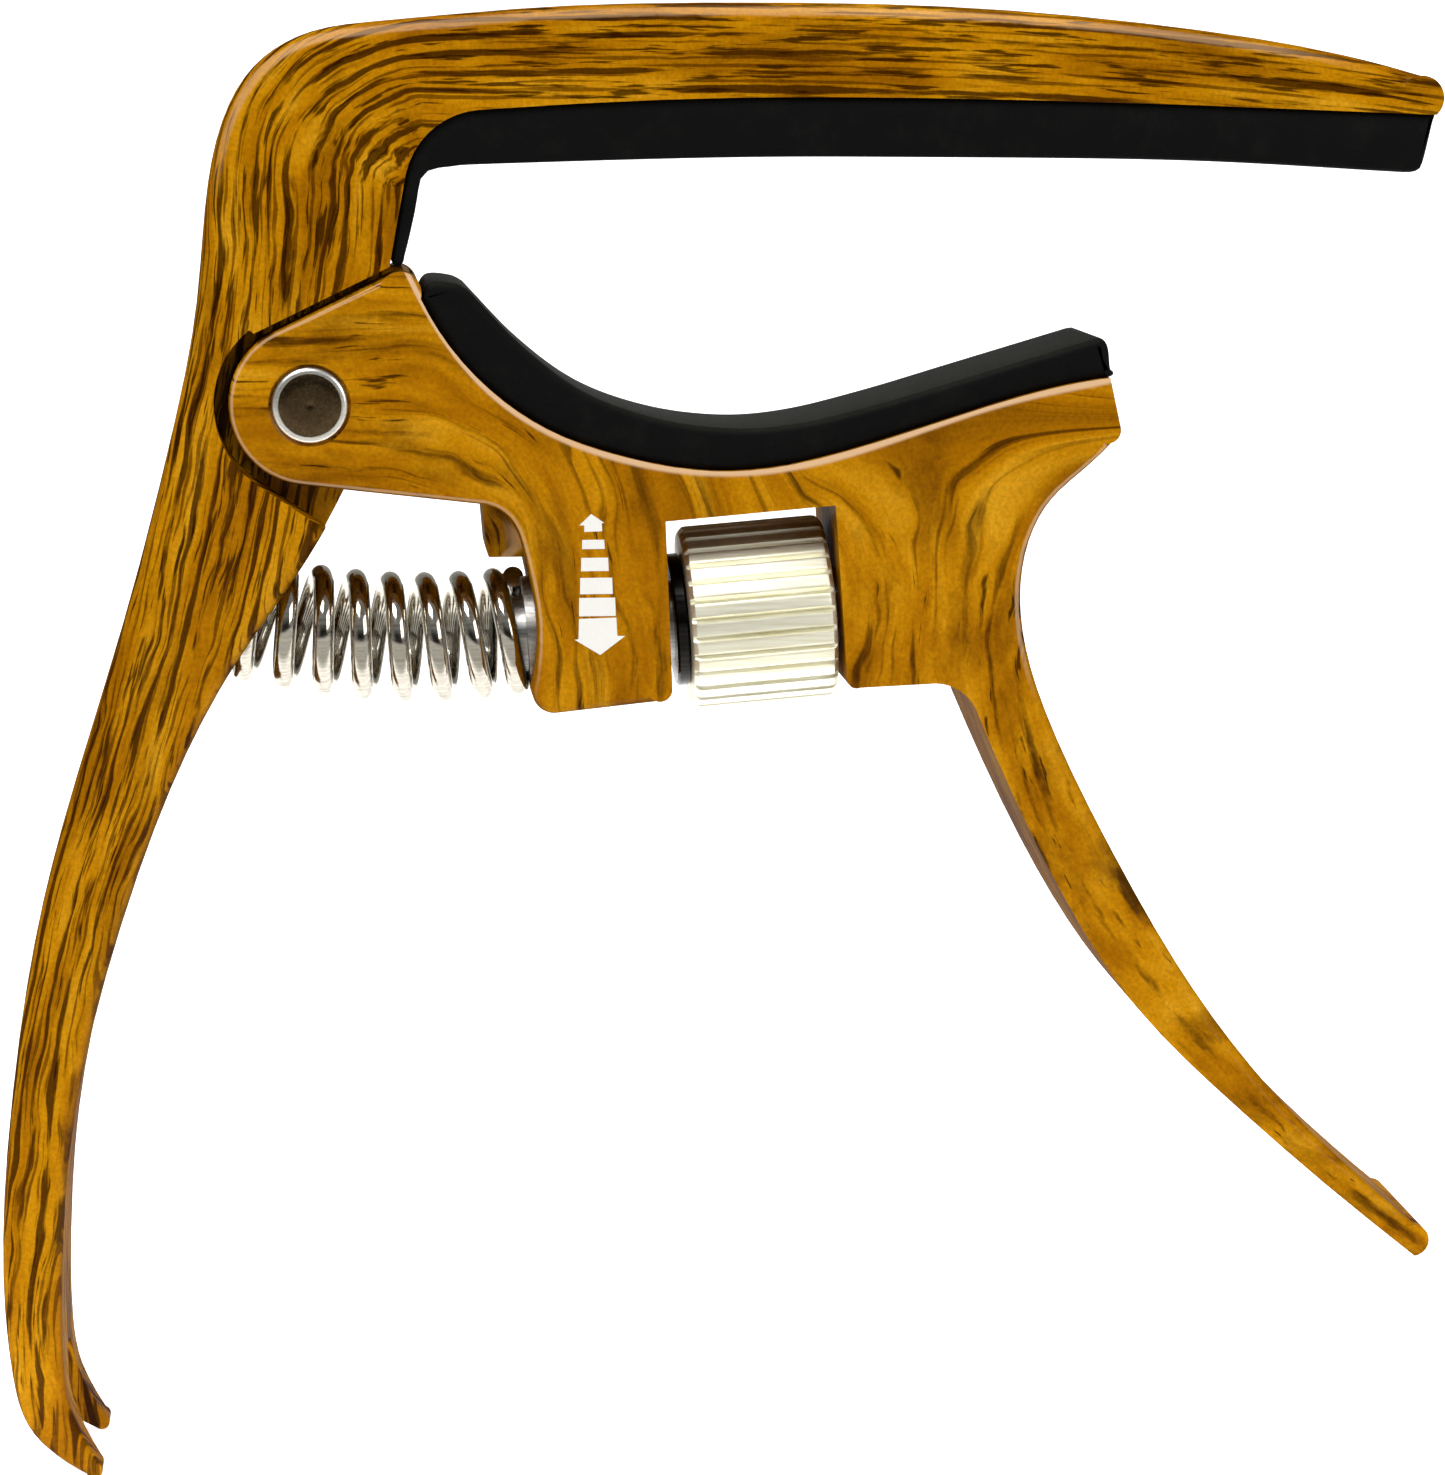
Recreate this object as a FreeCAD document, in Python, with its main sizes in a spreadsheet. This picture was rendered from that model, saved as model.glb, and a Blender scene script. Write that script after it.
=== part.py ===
import FreeCAD, Part

import math
import os

import Sketcher

# Trigger capo for a guitar. Two die-cast arms swing on one pin, a compression spring between their
# handles closes the jaws, and a knurled wheel moves the spring's seat to set the grip.
# Frame: +X from the pin towards the mouth of the jaws, +Z up, -Y the printed side. The origin is the
# deepest point of the neck pad's curve, in the middle of its width. All lengths are millimetres.

doc = FreeCAD.newDocument("guitar_capo")

DIMENSIONS = [
    ("body_width", 11.4, "width of both arms across the jaws"),
    ("arm_edge_round", 1.2, "rounding of the arms' long edges"),
    ("tip_edge_round", 0.45, "rounding of those edges at the thin ends of the handles"),
    ("pad_width", 10.8, "width of both rubber pads"),
    ("rib_width", 5.0, "width of the ribs that key the pads into the arms"),
    ("rib_clearance", 0.05, "gap round a rib in its groove"),
    ("pivot_x", -26.3, "pin axis, across"),
    ("pivot_z", 1.7, "pin axis, height"),
    ("pin_diameter", 4.8, "pivot pin, a press fit in the ears"),
    ("pin_length", 11.6, "pivot pin, standing just proud of both ears"),
    ("pin_chamfer", 0.45, "bright chamfer at the pin's ends"),
    ("running_gap", 0.05, "radial gap of each running fit"),
    ("ear_radius", 5.0, "round end of the two ears"),
    ("ear_gap", 0.9, "gap round the ears in the upper arm's pockets"),
    ("ear_top_gap", 0.45, "gap over the ears, where the closed jaws stop"),
    ("ear_top_slope", 25.7, "degrees, rise of the ears' upper edge"),
    ("ear_bottom_slope", 7.6, "degrees, fall of the ears' lower edge"),
    ("opening_angle", 27.0, "degrees, how far the jaws open"),
    ("tongue_width", 5.1, "upper arm's tongue between the ears"),
    ("slot_width", 5.7, "space between the two ears"),
    ("washer_thickness", 0.28, "plastic washers at each side of the tongue"),
    ("washer_diameter", 8.8, "the same, outside"),
    ("counterbore_diameter", 5.1, "recess round each end of the pin"),
    ("counterbore_depth", 0.35, "the same, depth"),
    ("screw_slope", 4.5, "degrees, rise of the tension screw's axis"),
    ("wheel_x", 1.95, "middle of the thumbwheel, across"),
    ("wheel_z", -12.3, "middle of the thumbwheel, height"),
    ("wheel_diameter", 11.8, "thumbwheel over its ridges"),
    ("wheel_length", 9.2, "thumbwheel along its axis"),
    ("wheel_chamfer", 0.35, "chamfer at the thumbwheel's ends"),
    ("ridge_count", 30.0, "ridges round the thumbwheel"),
    ("groove_depth", 0.32, "depth of the grooves between the ridges"),
    ("collar_diameter", 8.5, "thrust collar beside the thumbwheel"),
    ("collar_thickness", 0.85, "the same, along the axis"),
    ("screw_diameter", 5.0, "tension screw"),
    ("screw_length", 22.3, "tension screw, from its seat to its free end"),
    ("screw_flat", 1.9, "distance of the screw's anti-rotation flat from its axis"),
    ("seat_x", -12.85, "face of the spring seat that the spring rests on"),
    ("seat_diameter", 7.3, "spring seat's flange"),
    ("seat_thickness", 0.7, "the same, along the axis"),
    ("seat_recess", 7.6, "shallow recess for the seat in the post's left face"),
    ("seat_spigot", 4.9, "diameter of the seat's nose inside the spring"),
    ("seat_spigot_length", 1.6, "length of that nose"),
    ("spring_diameter", 8.4, "tension spring, outside"),
    ("spring_wire", 1.35, "the same, wire"),
    ("spring_turns", 9.25, "turns, counted between the centres of the wire's ends"),
    ("spring_left_x", -35.3, "floor of the spring's pocket in the handle"),
    ("spring_left_z", -12.72, "the same, height"),
    ("pocket_slope", -2.5, "degrees, rise of that pocket's axis towards the screw"),
    ("pocket_diameter", 9.4, "the same, bore"),
    ("notch_width", 6.0, "bridge-pin notch at its root"),
    ("notch_mouth", 8.2, "bridge-pin notch at the tips of the prongs"),
    ("notch_root_z", -59.5, "bridge-pin notch, height of its round root"),
]


def make_sheet():
    """Writes the driving dimensions: name, value and note in one row each."""
    made = doc.addObject("Spreadsheet::Sheet", "dimensions")
    for row, (alias, value, note) in enumerate(DIMENSIONS, start=1):
        made.set(f"A{row}", alias)
        made.set(f"B{row}", str(value))
        made.set(f"C{row}", note)
        made.setAlias(f"B{row}", alias)
    doc.recompute()
    return made


sheet = make_sheet()


def size(alias):
    """The value of one driving dimension."""
    return float(getattr(sheet, alias))


def sine(alias):
    return math.sin(math.radians(size(alias)))


def cosine(alias):
    return math.cos(math.radians(size(alias)))


def polar(centre, radius, degrees):
    """The point at that radius and angle round a centre."""
    turn = math.radians(degrees)
    return (centre[0] + radius * math.cos(turn), centre[1] + radius * math.sin(turn))


def on_line(start, degrees, length):
    """The point that lies that far from start in a direction."""
    return polar(start, length, degrees)


PIVOT = (size("pivot_x"), size("pivot_z"))
THROUGH = 60.0  # longer than any cut that has to run out of the part


# ---- shared ways of building -------------------------------------------------------------------


def new_body(label):
    body = doc.addObject("PartDesign::Body", label)
    body.Label = label
    return body


def plane(body, role):
    """One of the body's own origin planes."""
    return next(item for item in body.Origin.OriginFeatures if item.Role == role)


def new_sketch(body, name, role, shift=(0.0, 0.0, 0.0), turn=0.0):
    """A sketch on an origin plane, moved by shift and turned about its own first axis."""
    sketch = body.newObject("Sketcher::SketchObject", name)
    sketch.AttachmentSupport = [(plane(body, role), "")]
    sketch.MapMode = "FlatFace"
    turned = FreeCAD.Rotation(FreeCAD.Vector(1, 0, 0), turn)
    sketch.AttachmentOffset = FreeCAD.Placement(FreeCAD.Vector(*shift), turned)
    return sketch


def smooth_edges(start, stretches):
    """One curve through all the points, cut into an edge at the end of each stretch."""
    route = [start] + [point for stretch in stretches for point in stretch]
    whole = Part.BSplineCurve()
    whole.interpolate([FreeCAD.Vector(across, up, 0) for across, up in route])
    cuts = [whole.FirstParameter]
    cuts += [whole.parameter(FreeCAD.Vector(*stretch[-1], 0)) for stretch in stretches]
    edges = []
    for first, last in zip(cuts, cuts[1:]):
        part_of_it = whole.copy()
        part_of_it.segment(first, last)
        edges.append(part_of_it)
    return edges


def draw_outline(sketch, start, pieces):
    """Draws a closed outline from start; each piece goes on from the end of the last one.

    A piece is ("line", [end]), ("arc", [middle, end]) or ("curve", [stretch, ...]): one smooth curve
    whose stretches are lists of the points it passes, each stretch an edge of its own.
    """
    here = start
    ends = []
    for kind, points in pieces:
        if kind == "curve":
            edges = smooth_edges(here, points)
            stops = [stretch[-1] for stretch in points]
        else:
            route = [FreeCAD.Vector(across, up, 0) for across, up in [here] + points]
            edges = [Part.LineSegment(*route) if kind == "line" else Part.Arc(*route)]
            stops = [points[-1]]
        for edge, stop in zip(edges, stops):
            index = sketch.addGeometry(edge, False)
            forward = sketch.getPoint(index, 1).isEqual(FreeCAD.Vector(*here, 0), 1e-5)
            ends.append((index, 1, 2) if forward else (index, 2, 1))
            here = stop
    for (index, _, last), (after, first, _) in zip(ends, ends[1:] + ends[:1]):
        sketch.addConstraint(Sketcher.Constraint("Coincident", index, last, after, first))


def draw_circle(sketch, centre, diameter_cell):
    """A circle whose diameter follows a cell or an expression of cells."""
    middle = FreeCAD.Vector(centre[0], centre[1], 0)
    circle = sketch.addGeometry(Part.Circle(middle, FreeCAD.Vector(0, 0, 1), 1.0), False)
    sketch.addConstraint(Sketcher.Constraint("DistanceX", -1, 1, circle, 3, centre[0]))
    sketch.addConstraint(Sketcher.Constraint("DistanceY", -1, 1, circle, 3, centre[1]))
    made = sketch.addConstraint(Sketcher.Constraint("Diameter", circle, 2.0))
    sketch.setExpression(f"Constraints[{made}]", diameter_cell)


def pad(body, sketch, length, name, symmetric=True):
    """Pads a sketch by a cell or expression, to both sides or along its normal."""
    feature = body.newObject("PartDesign::Pad", name)
    feature.Profile = sketch
    feature.SideType = "Symmetric" if symmetric else "One side"
    feature.setExpression("Length", length)
    doc.recompute()
    return feature


def pocket(body, sketch, length, name, symmetric=True, reversed_way=False):
    """Cuts a sketch out by a cell or expression, and makes sure that it cut something."""
    before = body.Shape.Volume
    feature = body.newObject("PartDesign::Pocket", name)
    feature.Profile = sketch
    feature.SideType = "Symmetric" if symmetric else "One side"
    feature.Reversed = reversed_way
    feature.setExpression("Length", length)
    doc.recompute()
    if not body.Shape.Volume < before - 1e-3:
        raise RuntimeError(f"{body.Label}: {name} cut nothing")
    return feature


def mirror(body, feature, name):
    """Repeats a feature at the other side of the middle plane."""
    copy = body.newObject("PartDesign::Mirrored", name)
    copy.Originals = [feature]
    copy.MirrorPlane = (plane(body, "XZ_Plane"), [""])
    body.Tip = copy
    doc.recompute()
    return copy


def lies_at(edge, half_width):
    """Whether an edge runs in one of the two planes Y = +half_width and Y = -half_width."""
    box = edge.BoundBox
    return box.YLength < 1e-4 and abs(abs(box.YMin) - half_width) < 1e-4


def near_place(edge, place):
    """True for an edge whose middle, seen from the front, lies within 0.6 mm of the place."""
    middle = edge.valueAt((edge.FirstParameter + edge.LastParameter) / 2)
    return math.dist((middle.x, middle.z), place) < 0.6


def taper_round(label, blank, half_width, radius_at, sharp=()):
    """Rounds the edges in the planes Y = +-half_width; radius_at(point) is the size at each end.

    Edges that pass close to a place named in sharp stay as they are.
    """
    sizes = []
    for number, edge in enumerate(blank.Shape.Edges, start=1):
        if not lies_at(edge, half_width):
            continue
        if any(near_place(edge, place) for place in sharp):
            continue
        first = radius_at(edge.Vertexes[0].Point)
        last = radius_at(edge.Vertexes[-1].Point)
        if min(first, last) > 0:
            sizes.append((number, first, last))
    rounded = doc.addObject("Part::Fillet", label)
    rounded.Base = blank
    rounded.Edges = sizes
    doc.recompute()
    return rounded


def cut_away(label, base, tools):
    """The base less the tools, under the sub-part's own label."""
    joined = tools[0]
    if len(tools) > 1:
        joined = doc.addObject("Part::MultiFuse", f"{label}_cutters")
        joined.Shapes = tools
    made = doc.addObject("Part::Cut", label)
    made.Label = label
    made.Base = base
    made.Tool = joined
    doc.recompute()
    if not made.Shape.Volume < base.Shape.Volume - 1e-3:
        raise RuntimeError(f"{label}: the cutters took nothing away")
    return made


def along_screw(distance):
    """The point on the screw's axis that lies that far from the middle of the thumbwheel."""
    return (
        size("wheel_x") + distance * cosine("screw_slope"),
        size("wheel_z") + distance * sine("screw_slope"),
    )


def place_on_axis(body, start, slope):
    """Turns a body made along +Z so that it runs from start towards +X, rising by slope degrees."""
    turn = FreeCAD.Rotation(FreeCAD.Vector(0, 1, 0), 90.0 - slope)
    body.Placement = FreeCAD.Placement(FreeCAD.Vector(start[0], 0, start[1]), turn)


# ---- the two arms ------------------------------------------------------------------------------

# The underside of the upper jaw and the inside of its shoulder, where the fretboard pad lies.
JAW_TIP = (44.2, 19.3)
BED_END = (-15.7, 19.7)
SHOULDER_END = (-20.2, 15.9)
LEG_END = (-21.4, 9.6)
BED = [(28.1, 19.95), (13.6, 20.35), (-0.7, 20.4), (-9.0, 20.1)]


def ear_tangents():
    """Where the ears' straight upper and lower edges leave their round end."""
    top = polar(PIVOT, size("ear_radius"), 90.0 + size("ear_top_slope"))
    bottom = polar(PIVOT, size("ear_radius"), 270.0 - size("ear_bottom_slope"))
    return top, bottom


TOP = [(38.4, 23.0), (27.5, 24.75), (13.6, 25.95), (-0.7, 26.2), (-11.1, 25.95), (-22.0, 25.05)]
ARM_OUTSIDE = [(-25.8, 24.45), (-29.4, 22.3), (-31.2, 19.4), (-32.2, 15.8), (-33.1, 8.2), (-34.8, 0.0)]
ARM_OUTSIDE += [(-38.2, -12.2), (-43.45, -29.25), (-45.8, -42.4), (-46.6, -54.0), (-46.2, -60.0)]
PRONG_OUTSIDE = [(-45.2, -63.6), (-43.5, -65.5), (-41.5, -66.85)]
PRONG_INSIDE = [(-41.8, -64.3), (-42.6, -62.2), (-42.95, -59.5)]
HANDLE_INSIDE = [(-42.9, -53.6), (-42.1, -44.9), (-38.1, -29.4), (-31.3, -14.7), (-25.7, -6.5)]
TONGUE = [(-23.3, -2.0), (-20.9, 3.0), LEG_END]
UPPER_SHARP = [(-40.75, -66.75)]


def upper_arm_blank():
    """Jaw, shoulder and left handle in one outline, at the full width."""
    body = new_body("upper_arm_blank")
    sketch = new_sketch(body, "upper_arm_outline", "XZ_Plane")
    draw_outline(
        sketch,
        JAW_TIP,
        [
            ("arc", [(44.6, 20.7), (43.5, 21.7)]),
            ("curve", [TOP[:1], TOP[1:], ARM_OUTSIDE[:-3], ARM_OUTSIDE[-3:], PRONG_OUTSIDE]),
            ("arc", [(-40.75, -66.75), (-40.8, -66.1)]),
            ("curve", [PRONG_INSIDE, HANDLE_INSIDE[:2], HANDLE_INSIDE[2:], TONGUE]),
            ("line", [SHOULDER_END]),
            ("arc", [(-18.6, 18.5), BED_END]),
            ("curve", [[*reversed(BED), JAW_TIP]]),
        ],
    )
    pad(body, sketch, "dimensions.body_width", "upper_arm_pad")
    return body


def upper_arm_round(point):
    """Full rounding along jaw and handle, less where they thin out, none where the rubber lies."""
    if point.z < -59.0:
        return size("tip_edge_round")
    if math.dist((point.x, point.z), LEG_END) < 0.01:
        return 0.3
    return 0.0 if point.x > -22.0 and point.z < 21.5 else size("arm_edge_round")


def ear_pockets():
    """The two recesses that take the ears; their upper and lower walls are the jaws' stops."""
    body = new_body("ear_pockets")
    radius = size("ear_radius") + size("ear_gap")
    side_depth = (size("body_width") - size("tongue_width")) / 2
    top, bottom = ear_tangents()
    upper = on_line(top, 90.0 + size("ear_top_slope"), size("ear_top_gap"))
    wall = size("ear_bottom_slope") + size("opening_angle")
    lower = polar(PIVOT, radius, 270.0 - wall)
    run = 22.0
    outer_edge = (upper[0] - 1.1 * cosine("ear_top_slope"), upper[1] - 1.1 * sine("ear_top_slope"))
    middle = size("body_width") / 2
    pieces = [
        ("line", [on_line(upper, size("ear_top_slope"), run)]),
        ("line", [on_line(lower, -wall, run)]),
        ("line", [lower]),
        ("arc", [polar(PIVOT, radius, 180.0), polar(PIVOT, radius, 128.0)]),
        ("line", [outer_edge]),
    ]
    sketch = new_sketch(body, "ear_pocket_outline", "XZ_Plane", shift=(0, 0, middle + 1))
    draw_outline(sketch, outer_edge, pieces)
    front = pad(body, sketch, f"{side_depth} + 1", "ear_pocket", symmetric=False)
    front.Reversed = True
    doc.recompute()
    mirror(body, front, "ear_pocket_other_side")
    return body


def pin_bore(label, diameter):
    """A bore through an arm on the pin's axis."""
    body = new_body(label)
    sketch = new_sketch(body, f"{label}_circle", "XZ_Plane")
    draw_circle(sketch, PIVOT, diameter)
    pad(body, sketch, f"{THROUGH}", f"{label}_pad")
    return body


def spring_pocket():
    """The blind bore in the handle that holds the spring's left end."""
    body = new_body("spring_pocket")
    sketch = new_sketch(body, "spring_pocket_circle", "XY_Plane")
    draw_circle(sketch, (0.0, 0.0), "dimensions.pocket_diameter")
    pad(body, sketch, "16", "spring_pocket_pad", symmetric=False)
    place_on_axis(body, (size("spring_left_x"), size("spring_left_z")), size("pocket_slope"))
    return body


def pin_notch():
    """The open slot between the prongs that lift a bridge pin: a round root, wider at the tips."""
    body = new_body("bridge_pin_notch")
    sketch = new_sketch(body, "notch_outline", "YZ_Plane")
    half_root = size("notch_width") / 2
    half_mouth = size("notch_mouth") / 2
    root = size("notch_root_z")
    start = root - half_root
    low = root - 9.0
    pieces = [
        ("arc", [(0.0, root), (half_root, start)]),
        ("line", [(half_mouth, low)]),
        ("line", [(-half_mouth, low)]),
        ("line", [(-half_root, start)]),
    ]
    draw_outline(sketch, (-half_root, start), pieces)
    pad(body, sketch, "120", "notch_pad")
    return body


def rib_block(label, left, right, low, high, grow):
    """The block that a pad's rib fills, or its groove when it grows by the clearance."""
    block = doc.addObject("Part::Box", label)
    block.setExpression("Width", f"dimensions.rib_width + {2 * grow}")
    block.Length = right - left + 2 * grow
    block.Height = high - low + 2 * grow
    block.setExpression("Placement.Base.y", f"-(dimensions.rib_width + {2 * grow}) / 2")
    block.Placement.Base.x = left - grow
    block.Placement.Base.z = low - grow
    doc.recompute()
    return block


JAW_RIB = (-12.0, 40.0, 18.2, 21.3)
NECK_RIB = (-6.0, 9.0, -4.3, -1.4)


def upper_arm():
    blank = upper_arm_blank()
    half = size("body_width") / 2
    rounded = taper_round("upper_arm_rounded", blank, half, upper_arm_round, UPPER_SHARP)
    bore = "dimensions.pin_diameter + 2 * dimensions.running_gap"
    groove = rib_block("jaw_rib_groove", *JAW_RIB, size("rib_clearance"))
    tools = [ear_pockets(), pin_bore("tongue_bore", bore), spring_pocket(), pin_notch(), groove]
    return cut_away("upper_arm", rounded, tools)


CRADLE_LEFT = (-19.4, 8.2)
CRADLE_RIGHT = (23.75, 3.0)
CRADLE = [(-15.4, 2.75), (-11.5, 0.0), (-7.0, -1.65), (-0.2, -2.65), (8.0, -1.2), (13.8, 0.6)]
RIGHT_SIDE = [(22.3, -2.7), (20.1, -4.75), (18.4, -9.0), (18.65, -13.9), (20.6, -19.6), (24.6, -27.6)]
HANDLE_TOP = [(28.9, -35.0), (35.6, -43.85), (40.0, -48.3), (44.9, -52.65)]
HANDLE_UNDER = [(38.8, -49.7), (32.2, -43.8), (26.3, -37.8), (20.8, -29.4), (15.6, -18.4)]
POST_LEFT = [(-12.35, -12.0), (-13.1, -7.8), (-13.95, -5.6), (-15.9, -4.55)]
LOWER_SHARP = [(45.8, -53.7), (41.8, -52.2)]


def lower_arm_blank():
    """Ears, neck cradle, post, wheel slot and right handle in one outline, at the full width."""
    body = new_body("lower_arm_blank")
    top, bottom = ear_tangents()
    sketch = new_sketch(body, "lower_arm_outline", "XZ_Plane")
    draw_outline(
        sketch,
        top,
        [
            ("line", [(-21.4, 9.62)]),
            ("arc", [(-19.75, 9.5), CRADLE_LEFT]),
            ("curve", [[*CRADLE, CRADLE_RIGHT]]),
            ("line", [(24.45, -0.1)]),
            ("arc", [(24.4, -0.65), (24.0, -1.05)]),
            ("curve", [RIGHT_SIDE, HANDLE_TOP[:2], HANDLE_TOP[2:]]),
            ("arc", [(45.65, -54.3), (44.9, -54.75)]),
            ("curve", [HANDLE_UNDER[:1], HANDLE_UNDER[1:]]),
            ("arc", [(14.6, -16.9), (12.9, -16.25)]),
            ("line", [(8.0, -16.45)]),
            ("arc", [(7.4, -16.35), (7.2, -15.9)]),
            ("line", [(6.4, -4.85)]),
            ("line", [(-4.3, -5.75)]),
            ("line", [(-3.9, -16.3)]),
            ("arc", [(-4.1, -16.9), (-4.7, -17.15)]),
            ("line", [(-11.1, -17.8)]),
            ("arc", [(-12.25, -17.45), (-12.7, -16.4)]),
            ("curve", [POST_LEFT]),
            ("line", [bottom]),
            ("arc", [polar(PIVOT, size("ear_radius"), 190.0), top]),
        ],
    )
    pad(body, sketch, "dimensions.body_width", "lower_arm_pad")
    return body


def lower_arm_round(point):
    """Small rounding on ears, post and body, more along the handle, none at cradle, slot and tip."""
    if -50.0 < point.z < -19.0:
        return 0.8 * size("arm_edge_round")
    if point.x < -4.6:
        under_pad = point.z > 2.0 and point.x > -21.0
        return 0.0 if under_pad else size("tip_edge_round")
    at_handle = point.x > 20.0 and point.z < -0.9
    return size("tip_edge_round") if at_handle else 0.0


def ear_slot():
    """The space between the ears, closed at the right by the stop lug."""
    body = new_body("ear_slot")
    sketch = new_sketch(body, "ear_slot_outline", "XZ_Plane")
    corners = [(-40.0, 14.0), (-19.9, 14.0), (-19.4, 0.0)]
    corners += [(-15.7, -4.0), (-15.4, -12.0), (-40.0, -12.0)]
    draw_outline(sketch, corners[-1], [("line", [corner]) for corner in corners])
    pad(body, sketch, "dimensions.slot_width", "ear_slot_pad")
    return body


def stop_lug():
    """The lug between the ears, below the cradle's left end."""
    body = new_body("stop_lug")
    sketch = new_sketch(body, "stop_lug_outline", "XZ_Plane")
    corners = [(-15.7, -4.0), (-12.0, -4.0), (-12.6, -8.2), (-15.25, -8.2), (-15.4, -7.6)]
    draw_outline(sketch, corners[-1], [("line", [corner]) for corner in corners])
    pad(body, sketch, "dimensions.slot_width", "stop_lug_pad")
    return body


def pin_counterbores():
    """The shallow round recess at each end of the pin."""
    body = new_body("pin_counterbores")
    middle = size("body_width") / 2
    sketch = new_sketch(body, "counterbore_circle", "XZ_Plane", shift=(0, 0, middle + 1))
    draw_circle(sketch, PIVOT, "dimensions.counterbore_diameter")
    front = pad(body, sketch, "dimensions.counterbore_depth + 1", "counterbore", symmetric=False)
    front.Reversed = True
    doc.recompute()
    mirror(body, front, "counterbore_other_side")
    return body


SCREW_BLIND_END = 9.4  # along the screw's axis from the middle of the wheel, in the right-hand body


def screw_bore():
    """The round blind bore that guides the screw through the post and into the right-hand body."""
    body = new_body("screw_bore")
    sketch = new_sketch(body, "screw_bore_circle", "XY_Plane")
    draw_circle(sketch, (0.0, 0.0), "dimensions.screw_diameter + 2 * dimensions.running_gap")
    reach = 20.0
    pad(body, sketch, f"{reach + SCREW_BLIND_END}", "screw_bore_pad", symmetric=False)
    place_on_axis(body, along_screw(-reach), size("screw_slope"))
    return body


def seat_recess():
    """The shallow round recess in the post's left face that takes the spring seat."""
    body = new_body("seat_recess")
    sketch = new_sketch(body, "seat_recess_circle", "XY_Plane")
    draw_circle(sketch, (0.0, 0.0), "dimensions.seat_recess")
    depth = size("seat_thickness") + 0.1
    pad(body, sketch, f"{4.0 + depth}", "seat_recess_pad", symmetric=False)
    place_on_axis(body, along_screw(seat_position() - 4.0), size("screw_slope"))
    return body


def lower_arm():
    blank = lower_arm_blank()
    half = size("body_width") / 2
    rounded = taper_round("lower_arm_rounded", blank, half, lower_arm_round, LOWER_SHARP)
    slotted = cut_away("lower_arm_slotted", rounded, [ear_slot()])
    lug = stop_lug()
    with_lug = doc.addObject("Part::MultiFuse", "lower_arm_with_lug")
    with_lug.Shapes = [slotted, lug]
    doc.recompute()
    groove = rib_block("neck_rib_groove", *NECK_RIB, size("rib_clearance"))
    bores = [pin_bore("ear_bore", "dimensions.pin_diameter"), pin_counterbores(), screw_bore()]
    tools = [*bores, seat_recess(), groove]
    return cut_away("lower_arm", with_lug, tools)


# ---- the rubber pads ---------------------------------------------------------------------------


def add_rib(label, body, limits):
    """The pad joined with the rib that keys it into its arm."""
    rib = rib_block(f"{label}_rib", *limits, 0.0)
    joined = doc.addObject("Part::MultiFuse", label)
    joined.Label = label
    joined.Shapes = [body, rib]
    doc.recompute()
    return joined


PAD_NOSE = (43.25, 15.75)
PAD_SURFACE = [(28.1, 16.5), (10.7, 16.75), (-0.7, 16.75), (-15.0, 16.4), (-17.9, 16.2)]
PAD_LEG = [(-19.05, 15.75), (-19.45, 14.8), (-20.0, 12.3), (-20.35, 10.75), (-20.75, 10.2)]
PAD_LEG += [(-21.15, 10.45)]


def fretboard_pad():
    """The flat pad under the jaw, with the thin leg that runs down inside the shoulder."""
    body = new_body("fretboard_pad_body")
    sketch = new_sketch(body, "fretboard_pad_outline", "XZ_Plane")
    draw_outline(
        sketch,
        JAW_TIP,
        [
            ("line", [PAD_NOSE]),
            ("curve", [PAD_SURFACE, PAD_LEG]),
            ("line", [SHOULDER_END]),
            ("arc", [(-18.6, 18.5), BED_END]),
            ("curve", [[*reversed(BED), JAW_TIP]]),
        ],
    )
    pad(body, sketch, "dimensions.pad_width", "fretboard_pad_pad")
    return add_rib("fretboard_pad", body, JAW_RIB)


NECK_NOSE = (23.6, 5.5)
NECK_SURFACE = [(15.4, 3.25), (9.4, 1.5), (4.3, 0.3), (0.0, 0.0), (-4.7, 0.65), (-9.2, 2.3)]
NECK_SURFACE += [(-16.6, 8.8)]


def neck_pad():
    """The curved pad that lies in the cradle and bears on the back of the neck."""
    body = new_body("neck_pad_body")
    sketch = new_sketch(body, "neck_pad_outline", "XZ_Plane")
    draw_outline(
        sketch,
        CRADLE_LEFT,
        [
            ("curve", [[*CRADLE, CRADLE_RIGHT]]),
            ("line", [NECK_NOSE]),
            ("curve", [NECK_SURFACE]),
            ("line", [(-18.9, 9.25)]),
            ("line", [CRADLE_LEFT]),
        ],
    )
    pad(body, sketch, "dimensions.pad_width", "neck_pad_pad")
    return add_rib("neck_pad", body, NECK_RIB)


# ---- pin and washers ---------------------------------------------------------------------------


def turned_body(label, half_outline):
    """A body turned about its own Z axis from an outline of (radius, height) points."""
    body = new_body(label)
    sketch = new_sketch(body, f"{label}_profile", "XZ_Plane")
    draw_outline(sketch, half_outline[-1], [("line", [point]) for point in half_outline])
    feature = body.newObject("PartDesign::Revolution", f"{label}_turned")
    feature.Profile = sketch
    feature.ReferenceAxis = (sketch, ["V_Axis"])
    feature.Angle = 360.0
    doc.recompute()
    return body


def pivot_pin():
    """A plain hardened pin with chamfered ends, pressed through both ears."""
    radius = size("pin_diameter") / 2
    half = size("pin_length") / 2
    chamfer = size("pin_chamfer")
    points = [(0, -half), (radius - chamfer, -half), (radius, chamfer - half)]
    points += [(radius, half - chamfer), (radius - chamfer, half), (0, half)]
    body = turned_body("pivot_pin", points)
    across = FreeCAD.Rotation(FreeCAD.Vector(1, 0, 0), 90)
    body.Placement = FreeCAD.Placement(FreeCAD.Vector(PIVOT[0], 0, PIVOT[1]), across)
    return body


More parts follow.
